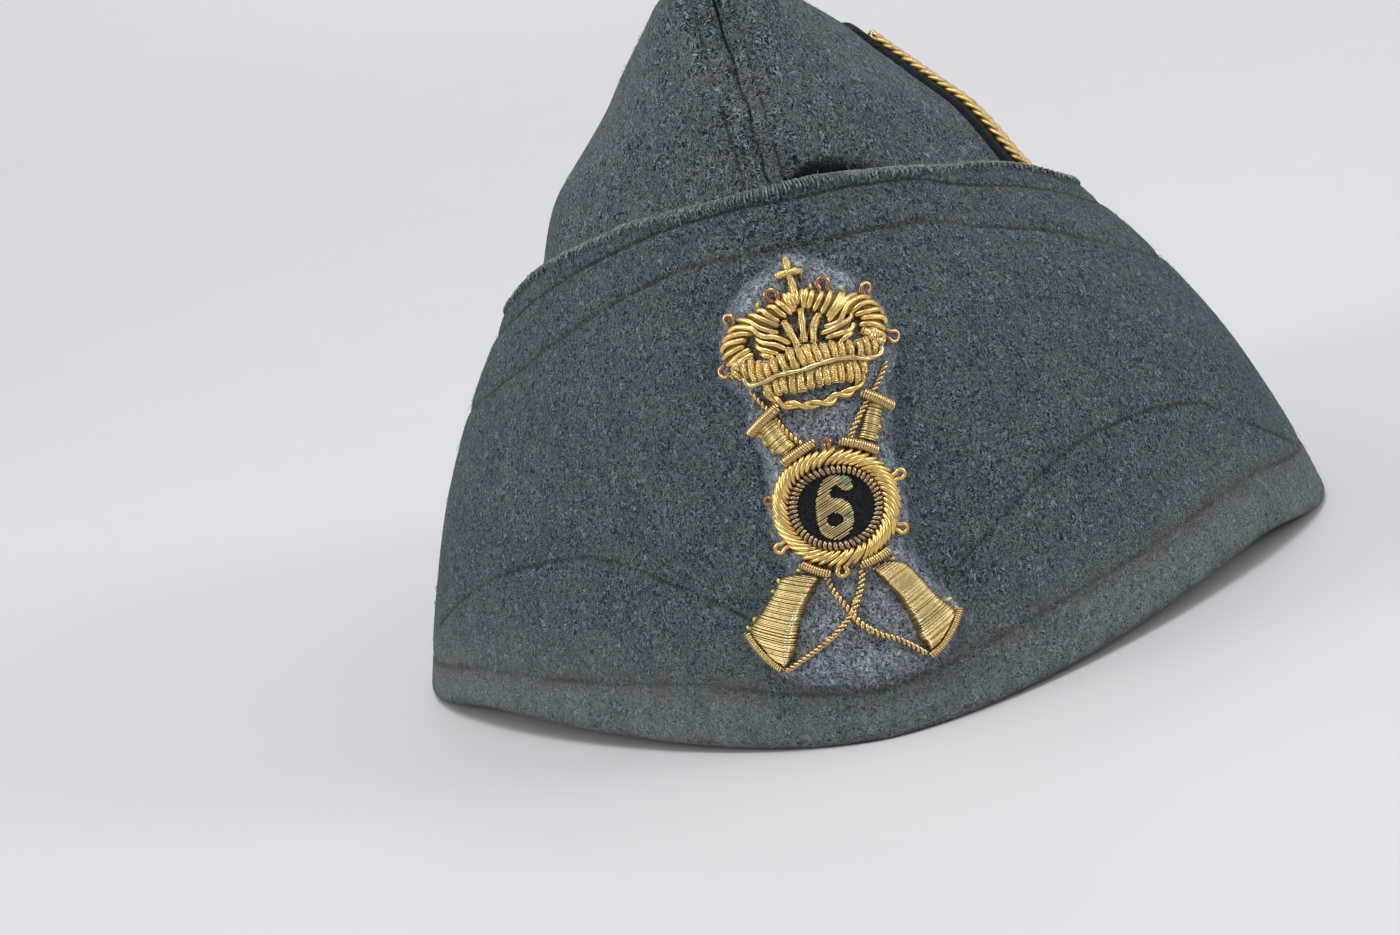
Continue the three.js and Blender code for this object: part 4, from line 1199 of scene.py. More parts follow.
class Fibres(Stroke):
    """Short curly fibres that stand out of a surface where its fuzz mark is high."""

    name = "fibres"
    sizes = {"Density": 1.0, "Length": 2.0, "Curl": 1.2, "Thick": .035, "Seed": 1}

    def chance(self, low: float, high: float, seed: int) -> Signal:
        """A random number for each fibre."""
        return self.add("FunctionNodeRandomValue", {"Min": low, "Max": high, "Seed": seed},
                        "Value")

    def body(self, geometry: Signal) -> Signal:
        """Scatters, bends and sweeps the fibres."""
        density = self.stored("fuzz") * self.given("Density")
        points = self.add("GeometryNodeDistributePointsOnFaces", {
            "Mesh": geometry, "Density": density, "Seed": self.given("Seed")})
        turned = self.other(points, "Rotation")
        spin, tilt = self.chance(0.0, 2 * math.pi, 3), self.chance(-.25, .12, 4)
        for axis, angle in (((0, 0, 1), spin), ((0, 1, 0), tilt)):
            turn = self.add("FunctionNodeAxisAngleToRotation", {"Axis": axis, "Angle": angle})
            turned = self.add("FunctionNodeRotateRotation", {
                "Rotation": turned, "Rotate By": turn}, rotation_space="LOCAL")
        line = self.add("GeometryNodeCurvePrimitiveLine", {
            "Start": (-.5, 0, .02), "End": (.5, 0, .02)})
        line = self.add("GeometryNodeResampleCurve", {"Curve": line, "Count": 3})
        size = self.chance(.5, 1.4, 5) * self.given("Length")
        placed = self.add("GeometryNodeInstanceOnPoints", {
            "Points": points, "Instance": line, "Rotation": turned, "Scale": size})
        placed = self.add("GeometryNodeRealizeInstances", {"Geometry": placed})
        drift = self.add("ShaderNodeTexNoise", {"Scale": 1.1, "Detail": 1.0}, "Color")
        drift = self.vector("SUBTRACT", drift, (.5, .5, .5))
        drift = self.vector("SCALE", drift, Scale=self.given("Curl") * 2)
        curled = self.add("GeometryNodeSetPosition", {"Geometry": placed, "Offset": drift})
        return self.swept(curled, self.given("Thick"), 3)


def line_object(name: str, threads: Sequence[Thread]) -> Piece:
    """An object of bare lines for a tree to work on, unscaled millimetres.

    Args:
        name: The piece's name.
        threads: The lines.

    Returns:
        The object.
    """
    points, thick, shade, edges, start = [], [], [], [], 0
    for thread in threads:
        path, radius, tone = thread.finished()
        count = len(path)
        k = np.arange(count if thread.closed else count - 1)
        edges.append(np.stack([start + k, start + (k + 1) % count], 1))
        points.append(path)
        thick.append(radius)
        shade.append(tone)
        start += count
    mesh = bpy.data.meshes.new(name)
    mesh.vertices.add(start)
    mesh.vertices.foreach_set("co", np.concatenate(points).astype(np.float32).ravel())
    joined = np.concatenate(edges)
    mesh.edges.add(len(joined))
    mesh.edges.foreach_set("vertices", joined.astype(np.int32).ravel())
    store(mesh, "thick", np.concatenate(thick))
    store(mesh, "shade", np.concatenate(shade))
    if threads[0].up is not None:
        store(mesh, "up", np.concatenate([thread.up for thread in threads]), vectors=True)
    mesh.update()
    return stand(mesh)


def corners_of(piece: Piece) -> Array:
    """A mesh object's corners."""
    points = np.zeros(len(piece.data.vertices) * 3, np.float32)
    piece.data.vertices.foreach_get("co", points)
    return points.reshape(-1, 3).astype(float)


def place_corners(piece: Piece, points: Array) -> None:
    """Moves a mesh object's corners to millimetre points."""
    piece.data.vertices.foreach_set("co", (points * MM).astype(np.float32).ravel())
    piece.data.update()


def join(name: str, pieces: Sequence[Piece]) -> Piece:
    """Joins mesh objects into one piece."""
    with bpy.context.temp_override(active_object=pieces[0], object=pieces[0],
                                   selected_objects=pieces, selected_editable_objects=pieces):
        bpy.ops.object.join()
    pieces[0].name = pieces[0].data.name = name
    return pieces[0]


# ---- metal finishes ----


@dataclass(frozen=True)
class Metal:
    """Gilt wire or thread, rubbed and tarnished in places, with a painted highlight where its shade
    falls below nothing.
    """

    name: str
    bright: Color = (.87, .58, .19)
    dull: Color = (.4, .27, .14)
    tarnish: float = .35
    spot: float = 1.6
    roughness: float = .3
    winding: float = 0
    winding_depth: float = .03
    variety: float = .45

    def make(self) -> Material:
        """Builds the material."""
        s = Shader(self.name)
        spots = s.noise(self.spot, 3, .6)
        wear_and_glint = spots.between(.66 - self.tarnish * .4, .78 - self.tarnish * .3)
        shade = s.attribute("shade")
        fine = s.noise(.35, 2, .6).between(.3, .7)
        color = s.blend(shade * self.variety + fine * .2, self.bright,
                        tuple(c * .6 for c in self.bright))
        color = s.blend(wear_and_glint, color, self.dull)
        # Painted highlight: where a thread's shade falls below nothing, its colour goes towards a
        # pale gold glint.
        color = s.blend((shade * -1).between(0, .8), color, (1, .9, .6))
        rough = wear_and_glint * .22 + fine * .1 + self.roughness
        height = s.noise(.2, 2, .5) * .4
        if self.winding:
            turns = (s.attribute("along") * (2 * math.pi / self.winding)).sine()
            height = height + turns * .5
        return s.surface(Base_Color=color, Roughness=rough, Metallic=1 - wear_and_glint * .35,
                         Normal=s.bump(height, self.winding_depth, .8))


# ---- the badge ----

# Heights over the wall: the felt's face, and where the needlework starts.
FELT_FACE = 1.3
WORK = 1.45


@dataclass
class Bench:
    """Where the badge is worked: its wall, its trees and its finishes."""

    wall: Wall = field(default_factory=BadgeWall)

    def __post_init__(self) -> None:
        """Builds the trees and the finishes."""
        self.strands, self.coils = Strands(), Coils()
        self.bullion = Metal("bullion", (.9, .64, .23), winding=.16, winding_depth=.008,
                             roughness=.15, variety=.65).make()
        self.purl = Metal("check_purl", (.88, .67, .29), (.5, .37, .18), .26,
                          roughness=.14).make()
        self.wound = Metal("wound_thread", (.87, .68, .32), (.48, .36, .18), tarnish=.14, spot=3,
                           roughness=.22, variety=.95).make()
        self.shadow = Metal("thread_shadow", (.27, .18, .07), (.16, .11, .05), roughness=.6).make()
        self.band = Metal("wound_band", (.78, .58, .27), (.46, .35, .18), tarnish=.26, spot=1.2,
                          roughness=.2, variety=.7).make()
        self.cord = Metal("twisted_cord", (.84, .61, .27), tarnish=.3, roughness=.16).make()
        self.copper = Metal("copper_loop", (.5, .29, .13), (.2, .1, .05), .42,
                            roughness=.13).make()
        self.rim = Metal("rim_cord", (.76, .56, .27), (.42, .3, .17), .42, roughness=.18).make()
        self.gilt = Metal("gilt_loop", (.8, .53, .18), (.4, .25, .1), .3, roughness=.2).make()
        self.dark = Metal("dark_purl", (.5, .36, .21), (.17, .12, .08), .45, roughness=.18,
                          variety=.8).make()
        self.pale = Metal("pale_satin", (.8, .64, .32), (.4, .32, .15), .25, 1.2,
                          roughness=.24, variety=1.2).make()
        self.green = Metal("green_satin", (.28, .4, .27), (.2, .27, .17), .3,
                           roughness=.4).make()

    def lay(self, piece: Piece) -> Piece:
        """Lays flat work on the wall."""
        place_corners(piece, self.wall.place(corners_of(piece)))
        return piece

    def sew(self, name: str, threads: Sequence[Thread], material: Material,
            sides: int = 8) -> Piece:
        """Makes threads and lays them."""
        piece = line_object(name, threads)
        self.strands.run(piece, material, Sides=sides)
        return self.lay(piece)

    def wind(self, name: str, threads: Sequence[Thread], material: Material,
             **sizes: float | int) -> Piece:
        """Makes wound wire and lays it."""
        piece = line_object(name, threads)
        self.coils.run(piece, material, **sizes)
        return self.lay(piece)

    def twist(self, name: str, threads: Sequence[Thread], material: Material,
              pitch: float, wire: float) -> Piece:
        """Makes a cord of two plies and lays it.

        Args:
            name: The piece's name.
            threads: The cord's middle lines, as thick as the plies stand off them.
            material: Its finish.
            pitch: The length of one full twist.
            wire: The plies' radius.

        Returns:
            The laid piece.
        """
        plies = [self.wind(f"{name}_{k}", threads, material, Wire=wire, Pitch=pitch, Steps=14,
                           Phase=math.pi * k, Sides=8) for k in range(2)]
        return join(name, plies)

    def underlay(self, paths: Sequence[Array], sink: float,
                 ring: bool = False) -> Piece:
        """A padding in the painted thread shadow, which fills what shows between threads.

        Args:
            paths: Threads' paths, side by side.
            sink: How far its top lies under them.
            ring: Whether the last path meets the first.

        Returns:
            The laid object.
        """
        count = 9
        top = np.stack([at_lengths(p, np.linspace(0, path_length(p)[-1], count)) for p in paths])
        bottom = top[:, ::-1].copy()
        top[..., 2] = np.maximum(top[..., 2] - sink, FELT_FACE + .05)
        bottom[..., 2] = FELT_FACE
        sections = np.hstack([top, bottom])
        return self.lay(loft("padding", sections / MM, self.shadow, ring))

    def pad(self, name: str, threads: Sequence[Thread], material: Material,
            sides: int, sink: float, ring: bool = False) -> Piece:
        """Makes and lays threads, with a padding that lies under them by a sink."""
        work = self.sew(name, threads, material, sides)
        return join(name, [work, self.underlay([t.path for t in threads], sink, ring)])


def crossings(outline: Array, y: float) -> Array:
    """Where a closed outline crosses a level."""
    a, b = outline, np.roll(outline, -1, axis=0)
    hit = (a[:, 1] > y) != (b[:, 1] > y)
    a, b = a[hit], b[hit]
    return a[:, 0] + (y - a[:, 1]) * (b[:, 0] - a[:, 0]) / (b[:, 1] - a[:, 1])


def scan(outlines: Sequence[Sequence[Point]], slope: float, spacing: float) -> list[Array]:
    """Cuts parallel lines to a shape.

    Args:
        outlines: The shape's outline, with those of its holes.
        slope: The lines' direction in degrees.
        spacing: From one line to the next.

    Returns:
        Each line's two ends, in order across the shape.
    """
    cos, sin = math.cos(math.radians(slope)), math.sin(math.radians(slope))
    turn = np.array([[cos, sin], [-sin, cos]])
    loops = [np.asarray(o, float) @ turn.T for o in outlines]
    low, high = loops[0][:, 1].min(), loops[0][:, 1].max()
    lines = []
    for y in np.arange(low + spacing / 2, high, spacing):
        hits = np.sort(np.concatenate([crossings(loop, y) for loop in loops]))
        lines += [np.array([[x0, y], [x1, y]]) @ turn for x0, x1 in zip(hits[::2], hits[1::2])]
    return lines


def closed_spline(points: Sequence[Point], spacing: float = .3) -> Array:
    """A smooth closed outline through points."""
    p = list(points)
    around = spline([p[-2], p[-1], *p, p[0], p[1]], spacing)
    gone, half = path_length(around), len(around) // 2
    from_first = np.linalg.norm(around - p[0], axis=1)
    start, end = gone[np.argmin(from_first[:half])], gone[half + np.argmin(from_first[half:])]
    count = max(8, int((end - start) / spacing))
    return at_lengths(around, np.linspace(start, end, count + 1)[:-1])


@dataclass
class Satin:
    """Threads laid side by side over a pad."""

    name: str
    outlines: Sequence[Sequence[Point]]
    slope: float
    profile: Table
    pad: float
    base: float = WORK
    spacing: float = .31
    thick: float = .165
    flipped: bool = False
    points: int = 15
    unevenness: float = .05
    # Where across the threads a painted highlight runs along the ridge, as a share; None paints
    # none.
    wear_and_glint: float | None = None

    def threads(self) -> list[Thread]:
        """The threads, in order across the shape."""
        rng = np.random.default_rng(len(self.name))
        made = []
        for ends in scan(self.outlines, self.slope, self.spacing):
            wide = np.linalg.norm(ends[1] - ends[0])
            if wide < self.thick * 3:
                continue
            u = np.linspace(0, 1, self.points)
            spread = u + .04 * np.sin(2 * math.pi * u)
            flat = lerp(ends[0], ends[1], spread[:, None])
            flat = flat + rng.normal(0, self.unevenness, 2)
            across = 1 - spread if self.flipped else spread
            height = self.profile(across)
            tall = self.pad * min(1, wide / 4) * (1 + rng.normal(0, .015))
            z = self.base + tall * height - abs(rng.normal(0, self.unevenness))
            shade = rng.uniform(0, 1) + 0 * across
            # Painted highlight: the shade dips below nothing along the ridge, and the metal paints
            # a glint there.
            if self.wear_and_glint is not None:
                shade = shade * .8 + .2 - rng.uniform(.3, 1.9) * bell(across - self.wear_and_glint, .045)
            made.append(Thread(np.column_stack([flat, z]), self.thick, shade=shade))
        return made


DOME = Table((0, .12, .3, .5, .7, .88, 1), (0, .55, .9, 1, .9, .55, 0))
STOCK = Table((0, .04, .12, .3, .5, .7, .84, .88, .915, .945, .975, 1),
              (0, .42, .72, .86, .91, .97, 1, .975, .75, .52, .3, .03))


@dataclass
class FeltPatch:
    """The felt that the badge is worked on, cut by hand."""

    outline: Sequence[Point] = (
        (.3, 43), (-5.6, 40.4), (-10.8, 37), (-14, 33), (-15.8, 27), (-15.4, 22.5), (-12.6, 18.6),
        (-13, 14.5), (-11.4, 10), (-11.6, 5), (-12.4, 0), (-12, -5), (-11, -9.5), (-14.2, -14),
        (-19.8, -20), (-18.4, -24.6), (-14.6, -28.6), (-8.6, -30.4), (0, -31.2), (8, -30.6),
        (13.4, -28.9), (18.6, -22.6), (16.8, -19), (12.8, -12.6), (11.2, -8), (12.2, -3.5),
        (12.5, 2), (11.4, 7.5), (13, 13), (13.9, 18.6), (16.2, 22.6), (16.5, 27), (14.8, 31.4),
        (11.4, 35.9), (6.6, 39.8))
    rows: int = 190
    columns: int = 90
    edge: float = 3.2

    def build(self, bench: Bench) -> None:
        """Makes the patch."""
        cut = closed_spline(self.outline)
        low, high = cut[:, 1].min(), cut[:, 1].max()
        ys = lerp(low + .02, high - .02, (1 - np.cos(np.linspace(0, math.pi, self.rows))) / 2)
        rows = [crossings(cut, y) for y in ys]
        left, right = (np.array([end(row) for row in rows]) for end in (np.min, np.max))
        u = (1 - np.cos(np.linspace(0, math.pi, self.columns))) / 2
        x = lerp(left[:, None], right[:, None], u[None, :])
        y = np.broadcast_to(ys[:, None], x.shape)
        from_cut = np.full(x.shape, 9.0)
        for k in range(0, len(cut), 2):
            from_cut = np.minimum(from_cut, np.hypot(x - cut[k, 0], y - cut[k, 1]))
        full = smoothstep(from_cut, 0, self.edge)
        top = .12 + (FELT_FACE - .12) * full
        sides = [np.stack([x, y, top], -1), np.stack([x, y, 0 * top + .02], -1)[:, ::-1]]
        sections = np.hstack(sides)
        felt = Wool("felt", dark=linear(30, 42, 54), middle=linear(149, 162, 175),
                    light=linear(222, 229, 236), beige=linear(190, 188, 186), fleck=.75, fibre=1.5,
                    specks=True, marks=(Mark.CUT,)).make()
        marks = {Mark.CUT: np.hstack([from_cut, from_cut[:, ::-1]])}
        piece = loft("badge_felt", sections / MM, felt, marks=marks)
        settle(bench.lay(piece), ["badge_backing"])
        hair = Yarn("felt_fibre", linear(158, 166, 174), linear(112, 122, 132), 2).make()
        Fuzz().grow("felt_fuzz", bench.wall.place(sides[0]), .35 + .9 * bell(from_cut, 2), hair,
                    "felt", Density=3.6, Length=1.3, Curl=1.1, Thick=.04)


@dataclass
class EmbroideredCrown:
    """The crown of the badge: cross, arch, lobes, rays, base and the cord that hangs under it."""

    strand: float = .45
    chip: float = .77
    chip_wire: float = .11
    chip_pitch: float = .21
    pad: float = 1.0
    left_fan: tuple = (
        ((-12.3, 24.8), (-10.4, 25.9), (-8, 27.1)), ((-13, 25.5), (-10.8, 26.6), (-8.4, 28)),
        ((-13.6, 26.5), (-11.4, 27.7), (-9.3, 28.6)), ((-13.5, 27.8), (-12.2, 28.8), (-8.7, 29.6)),
        ((-12.9, 29.4), (-11.4, 30.2), (-9.4, 30.5), (-7.5, 30.4)))
    left_sweep: tuple = (
        ((-11.6, 30.9), (-9.7, 31.7), (-7.1, 31.2), (-6.4, 30.3), (-5.3, 29.6), (-4, 29.3),
         (-2.1, 27.8)),
        ((-9.6, 32.9), (-7.4, 32.4), (-6, 31.3), (-4.7, 30.5), (-3.5, 29.9)),
        ((-7.5, 33.3), (-6.8, 33.5), (-5.4, 32.6), (-4.2, 31.7), (-3.3, 31)),
        ((-6.1, 33.9), (-5.1, 33.9), (-4.3, 32.9), (-3.1, 31.8)),
        ((-4.4, 34.2), (-3.5, 34.2), (-2.7, 33.2), (-2, 32.2)))
    top: tuple = (
        ((-3, 35.1), (-2.2, 34.2), (-1.1, 32.5)), ((-1.6, 36.2), (-1.4, 34.9), (-.6, 32.9)),
        ((-.9, 36.2), (-.8, 35.1), (-.3, 33.3)), ((-.3, 36.1), (-.1, 35.2), (.1, 33.9)),
        ((1.1, 36.2), (1.1, 34.8), (.9, 33.1)), ((1.8, 36.2), (1.4, 34.9), (.9, 33.2)),
        ((2.6, 35.7), (2.1, 34.2), (1.5, 32.9)), ((4, 35.1), (3.2, 33.7), (2.3, 32.3)),
        ((5.3, 34.8), (4.4, 33.3), (3.3, 31.7)), ((6.7, 34.2), (5.6, 32.6), (4.1, 30.9)))
    right_sweep: tuple = (
        ((7.3, 33.9), (6, 32.3), (4.4, 30.3)), ((9.3, 33.2), (7.4, 32.9), (6.3, 32), (4.1, 30.2)),
        ((11.5, 31.9), (9.7, 32.5), (7.4, 32), (6.5, 31), (5.6, 29.8), (3.3, 29.5)))
    right_fan: tuple = (
        ((12.7, 30.4), (11.2, 31.3), (9.3, 31.3), (7.9, 30.7)),
        ((13.4, 28.8), (12.5, 29.7), (10.1, 30.1), (8.4, 30.1)),
        ((13.6, 27.3), (13.1, 28.2), (11.4, 28.9), (9.3, 29.3)),
        ((13.1, 26.5), (10.9, 27.8), (8.8, 28.3)), ((12.9, 25.2), (11.4, 26.4), (8.9, 27.2)))
    left_lobe: tuple = (
        ((-7, 29.8), (-6.3, 29), (-5.1, 28.4), (-4, 28), (-2.9, 27.1)),
        ((-7.1, 28.7), (-6.6, 27.8), (-5.3, 27.2), (-4.1, 26.7)),
        ((-6.7, 27), (-5.7, 26.5), (-4.9, 26.1)))
    right_lobe: tuple = (
        ((7.7, 30.6), (7.5, 29.9), (6.2, 29.3), (4.5, 28.8), (2.6, 28.5)),
        ((7.8, 29), (7.2, 28.1), (5.5, 27.8), (3.3, 27.6)), ((7.4, 27.5), (6.2, 27), (5.2, 26.6)))
    rays: tuple = (
        ((-2.4, 31.5), (-1.6, 29.3), (-1.1, 27.4)), ((.4, 33), (.2, 30.5), (0, 27.9)),
        ((2.7, 31.5), (1.8, 29.9), (1.4, 27.6)))
    crumbs: tuple = (
        ((9.2, 27.2), (10.1, 26.5)), ((10.7, 27.1), (11.3, 26)), ((10.9, 25.2), (12, 24.8)),
        ((9.8, 25.8), (11.2, 26.2)), ((-11.6, 25.8), (-10.6, 24.9)), ((-11.7, 24.5), (-10.9, 23.6)),
        ((-10.5, 26.3), (-9.7, 25.6)))
    cross: tuple = (((-.3, 38.8), (0, 36.4), (.1, 34.2)), ((-.35, 41.6), (-.3, 39.2)),
                    ((-2.3, 39), (-.3, 39.3), (1.6, 39.1)))
    upper_tops: tuple = (
        (-9.8, 25.6), (-8.5, 26.2), (-7.2, 25.6), (-6.1, 25.3), (-5, 25.7), (-3.8, 26.1),
        (-2.4, 26.9), (-1.2, 26.8), (0, 26.9), (1.2, 26.8), (2.5, 26.5), (3.8, 26.6),
        (5.1, 26.1), (6.4, 26), (7.9, 25.8), (9, 25.9), (10.4, 25.4))
    upper_feet: tuple = (
        (-9.7, 23.8), (-8.5, 22.7), (-7.3, 22.9), (-6, 23.3), (-4.8, 23.8), (-3.3, 23.9),
        (-1.9, 23.8), (-.5, 24), (.5, 24.1), (1.8, 24.1), (2.9, 24.2), (4.1, 24.1),
        (5.1, 24.3), (6.5, 24.1), (8, 23.8), (9.2, 23.6), (10.5, 23.6))
    lower_tops: tuple = (
        (-6.6, 22), (-5.2, 22.3), (-4.1, 22.5), (-2.7, 22.6), (-1.5, 22.7), (-.1, 22.9),
        (1.1, 23), (2.2, 23), (3.3, 23.1), (4.4, 23.2), (5.7, 23), (6.6, 22.9), (7.9, 22.5))
    lower_feet: tuple = (
        (-6.4, 20.4), (-5, 20.4), (-4, 20.6), (-2.8, 20.4), (-1.6, 20.3), (-.3, 20.4),
        (1.1, 20.6), (2.2, 20.7), (3.3, 20.6), (4.4, 20.5), (5.6, 20.2), (6.8, 20), (8, 21))
    rim_cord: tuple = (
        (-9.8, 23.3), (-9.3, 22.1), (-7.8, 22.1), (-6, 22.6), (-4.3, 23.2), (-1.3, 23.3),
        (1.9, 23.8), (5, 23.8), (9.4, 22.7), (11, 23.1), (11.2, 24))
    swag: tuple = (
        (-7.3, 20.9), (-5.9, 19.5), (-4.7, 18.3), (-3, 18.1), (-1.6, 17.6), (.2, 17.6),
        (2, 17.5), (3, 18.3), (4.6, 18.2), (6.2, 18.6), (7.4, 19.8), (7.8, 21))

    def bullion(self, bench: Bench, name: str, guides: Sequence, nodes: Sequence[str],
                pad: float) -> None:
        """Strands of smooth bullion over a pad.

        Args:
            bench: Where they are worked.
            name: The piece's name.
            guides: The places that each strand passes.
            nodes: The frame's nodes that they stand for.
            pad: How high the pad is.
        """
        rng = np.random.default_rng(len(name))
        threads = []
        for guide in guides:
            path = lifted(spline(guide, .22), WORK + self.strand * .9, pad, .5)
            wave = np.sin(np.linspace(0, rng.uniform(3, 7), len(path)) + rng.uniform(0, 6))
            path[:, 1] += .05 * wave
            threads.append(Thread(path, self.strand * rng.uniform(.94, 1.04),
                                  shade=rng.uniform(0, 1)))
        settle(bench.pad(name, threads, bench.bullion, 10, .25), nodes)

    def purls(self, bench: Bench, name: str, guides: Sequence, nodes: Sequence[str],
              pad: float, size: float = 1) -> None:
        """Chips of check purl: wire wound square, so that it glitters."""
        rng = np.random.default_rng(len(name))
        threads = [Thread(lifted(spline(g, .2), WORK + self.chip * size, pad), self.chip * size,
                          rounded=False, shade=rng.uniform(0, 1)) for g in guides]
        chips = bench.wind(name, threads, bench.purl, Wire=self.chip_wire, Steps=4,
                           Pitch=self.chip_pitch, Twist=.1, Sides=5)
        cores = [Thread(t.path, t.thick * .8, shade=.6) for t in threads]
        core = bench.sew("core", cores, bench.purl, 6)
        settle(join(name, [chips, core]), nodes)

    def build(self, bench: Bench) -> None:
        """Makes the crown."""
        arch = self.left_fan + self.left_sweep + self.top + self.right_sweep + self.right_fan
        self.bullion(bench, "crown_arch_strands", arch, ["crown_arch"], self.pad)
        self.bullion(bench, "crown_lobe_strands_left", self.left_lobe, ["crown_lobe_left"], .9)
        self.bullion(bench, "crown_lobe_strands_right", self.right_lobe, ["crown_lobe_right"], .9)
        rays = [f"crown_ray_{k}" for k in (1, 2, 3)]
        self.purls(bench, "crown_ray_purls", self.rays, rays, .3, .95)
        self.purls(bench, "crown_cross_purls", self.cross, ["crown_cross"], .2)
        base = [*zip(self.upper_tops, self.upper_feet), *zip(self.lower_tops, self.lower_feet),
                *self.crumbs]
        self.purls(bench, "crown_base_purls", base, ["crown_base"], .6)
        cord = Thread(lifted(spline(self.rim_cord), WORK + 1.85), .09)
        settle(bench.twist("crown_rim_cord", [cord], bench.rim, 6, .33))
        cord = Thread(lifted(spline(self.swag), WORK + .5, .3), .4)
        settle(bench.twist("crown_swag_cord", [cord], bench.bullion, 6, .48),
               ["crown_swag"])


class Side(StrEnum):
    """The wearer's side of a rifle's butt."""

    LEFT = "left"
    RIGHT = "right"


@dataclass
class Rifle:
    """One crossed rifle: its muzzle, fore end, bands, butt and sling."""

    side: Side
    muzzle_string: tuple
    muzzle_band: tuple
    fore: tuple
    fore_slope: float
    fore_cord: tuple
    middle_band: tuple
    neck_band: tuple
    butt: tuple
    butt_slope: float
    plate: tuple
    sling: tuple
    sling_lift: float
    flipped: bool

    def band(self, bench: Bench, node: str, route: Sequence[Point], size: float = .92) -> None:
        """A band of wound thread round a dark core, a painted shadow between its turns, for one of
        the frame's nodes.
        """
        name = f"{node}_wound_{self.side}"
        path = lifted(spline(route, .2), WORK + size * .85, .25)
        coil = bench.wind(name, [Thread(path, size - .18, rounded=False)], bench.band, Wire=.19,
                          Pitch=.37, Steps=9, Sides=5)
        # Painted shadow: a dark core that shows between the turns.
        core = bench.sew("core", [Thread(path, size - .15, shade=.8)], bench.shadow, 8)
        settle(join(name, [coil, core]), [f"{node}_{self.side}"])

    def satin(self, bench: Bench, node: str, satin: Satin) -> None:
        """Padded threads laid side by side, for one of the frame's nodes."""
        piece = bench.pad(satin.name, satin.threads(), bench.wound, 5, .08)
        settle(piece, [f"{node}_{self.side}"])

    def cord(self, bench: Bench, name: str, route: Sequence[Point], nodes: Sequence[str] = (),
             lift: float = 0, size: float = .3, pitch: float = 1.9) -> None:
        """A cord of two wires twisted together round a dark core, a painted shadow between the
        plies.

        Args:
            bench: Where it is worked.
            name: The piece's name, without the side.
            route: The places that it passes.
            nodes: The frame's nodes that it stands for.
            lift: How far it climbs over the other rifle's cord.
            size: The wires' distance from its middle.
            pitch: The length of one full twist.
        """
        name = f"{name}_{self.side}"
        path = lifted(spline(route), WORK + size * 1.6)
        middle = path_length(path)
        path[:, 2] += lift * bell(middle - middle[-1] * .46, 1.9)
        plies = bench.twist(f"{name}_plies", [Thread(path, size)], bench.cord, pitch, size * .76)
        # Painted shadow: a dark core that shows between the plies.
        core = bench.sew("core", [Thread(path, size * .75)], bench.shadow)
        settle(join(name, [plies, core]), nodes)

    def build(self, bench: Bench) -> None:
        """Makes the rifle."""
        side = self.side
        self.cord(bench, "muzzle_string", self.muzzle_string)
        self.cord(bench, "fore_cord", self.fore_cord)
        self.band(bench, "muzzle_band", self.muzzle_band, .96)
        self.band(bench, "middle_band", self.middle_band)
        self.band(bench, "neck_band", self.neck_band)
        self.band(bench, "butt_plate", self.plate, .78)
        self.satin(bench, "rifle_fore", Satin(f"rifle_fore_satin_{side}", [self.fore],
                                              self.fore_slope, DOME, 1.2))
        # The butts' threads carry a painted highlight along their inner ridge.
        self.satin(bench, "butt", Satin(f"butt_satin_{side}", [closed_spline(self.butt)],
                                        self.butt_slope, STOCK, 1.75, flipped=self.flipped,
                                        points=56, wear_and_glint=.89))
        self.cord(bench, "sling_cord", self.sling, [f"sling_{side}"], self.sling_lift,
                  size=.32, pitch=1.8)


LEFT_RIFLE = Rifle(
    side=Side.LEFT, muzzle_string=((-9.7, 21.1), (-8.6, 19.4), (-7.4, 17.6)),
    muzzle_band=((-5.6, 18.1), (-8.4, 16.1), (-11.1, 14)),
    fore=((-10, 14), (-6.3, 16.4), (-4.2, 11.4), (-5.8, 9.1), (-7.8, 10.2)), fore_slope=33,
    fore_cord=((-6.4, 16.3), (-5.4, 14.2), (-3.1, 11.3)),
    middle_band=((-1.4, 11.3), (-4, 10), (-6.4, 8.6)),
    neck_band=((-6.6, -8.6), (-4.6, -9.8), (-2.7, -10.7)),
    butt=((-4.3, -11.2), (-6.2, -10.5), (-8.3, -10.3), (-10.5, -10.6), (-11.6, -11.6),
          (-12.6, -13), (-13.9, -14.6), (-15.3, -16.2), (-16.8, -17.8), (-18.3, -19.2),
          (-18.2, -20.4), (-16.8, -22.3), (-15.5, -24.2), (-14.3, -25.5), (-12.9, -25.9),
          (-11.6, -24.5), (-10.8, -22.9), (-10.1, -20.8), (-9.2, -18.8), (-8.1, -16.7),
          (-7, -14.9), (-5.8, -13.2)),
    butt_slope=-14, plate=((-18.9, -20.2), (-17.9, -22), (-16, -24.4), (-13.6, -26.7)),
    sling=((-3.2, -11.1), (-2.6, -13.7), (-1.5, -15.9), (-.4, -17.9), (.9, -20.3), (2.8, -22.2),
           (5.8, -24), (9.6, -27.4)), sling_lift=.6, flipped=False)
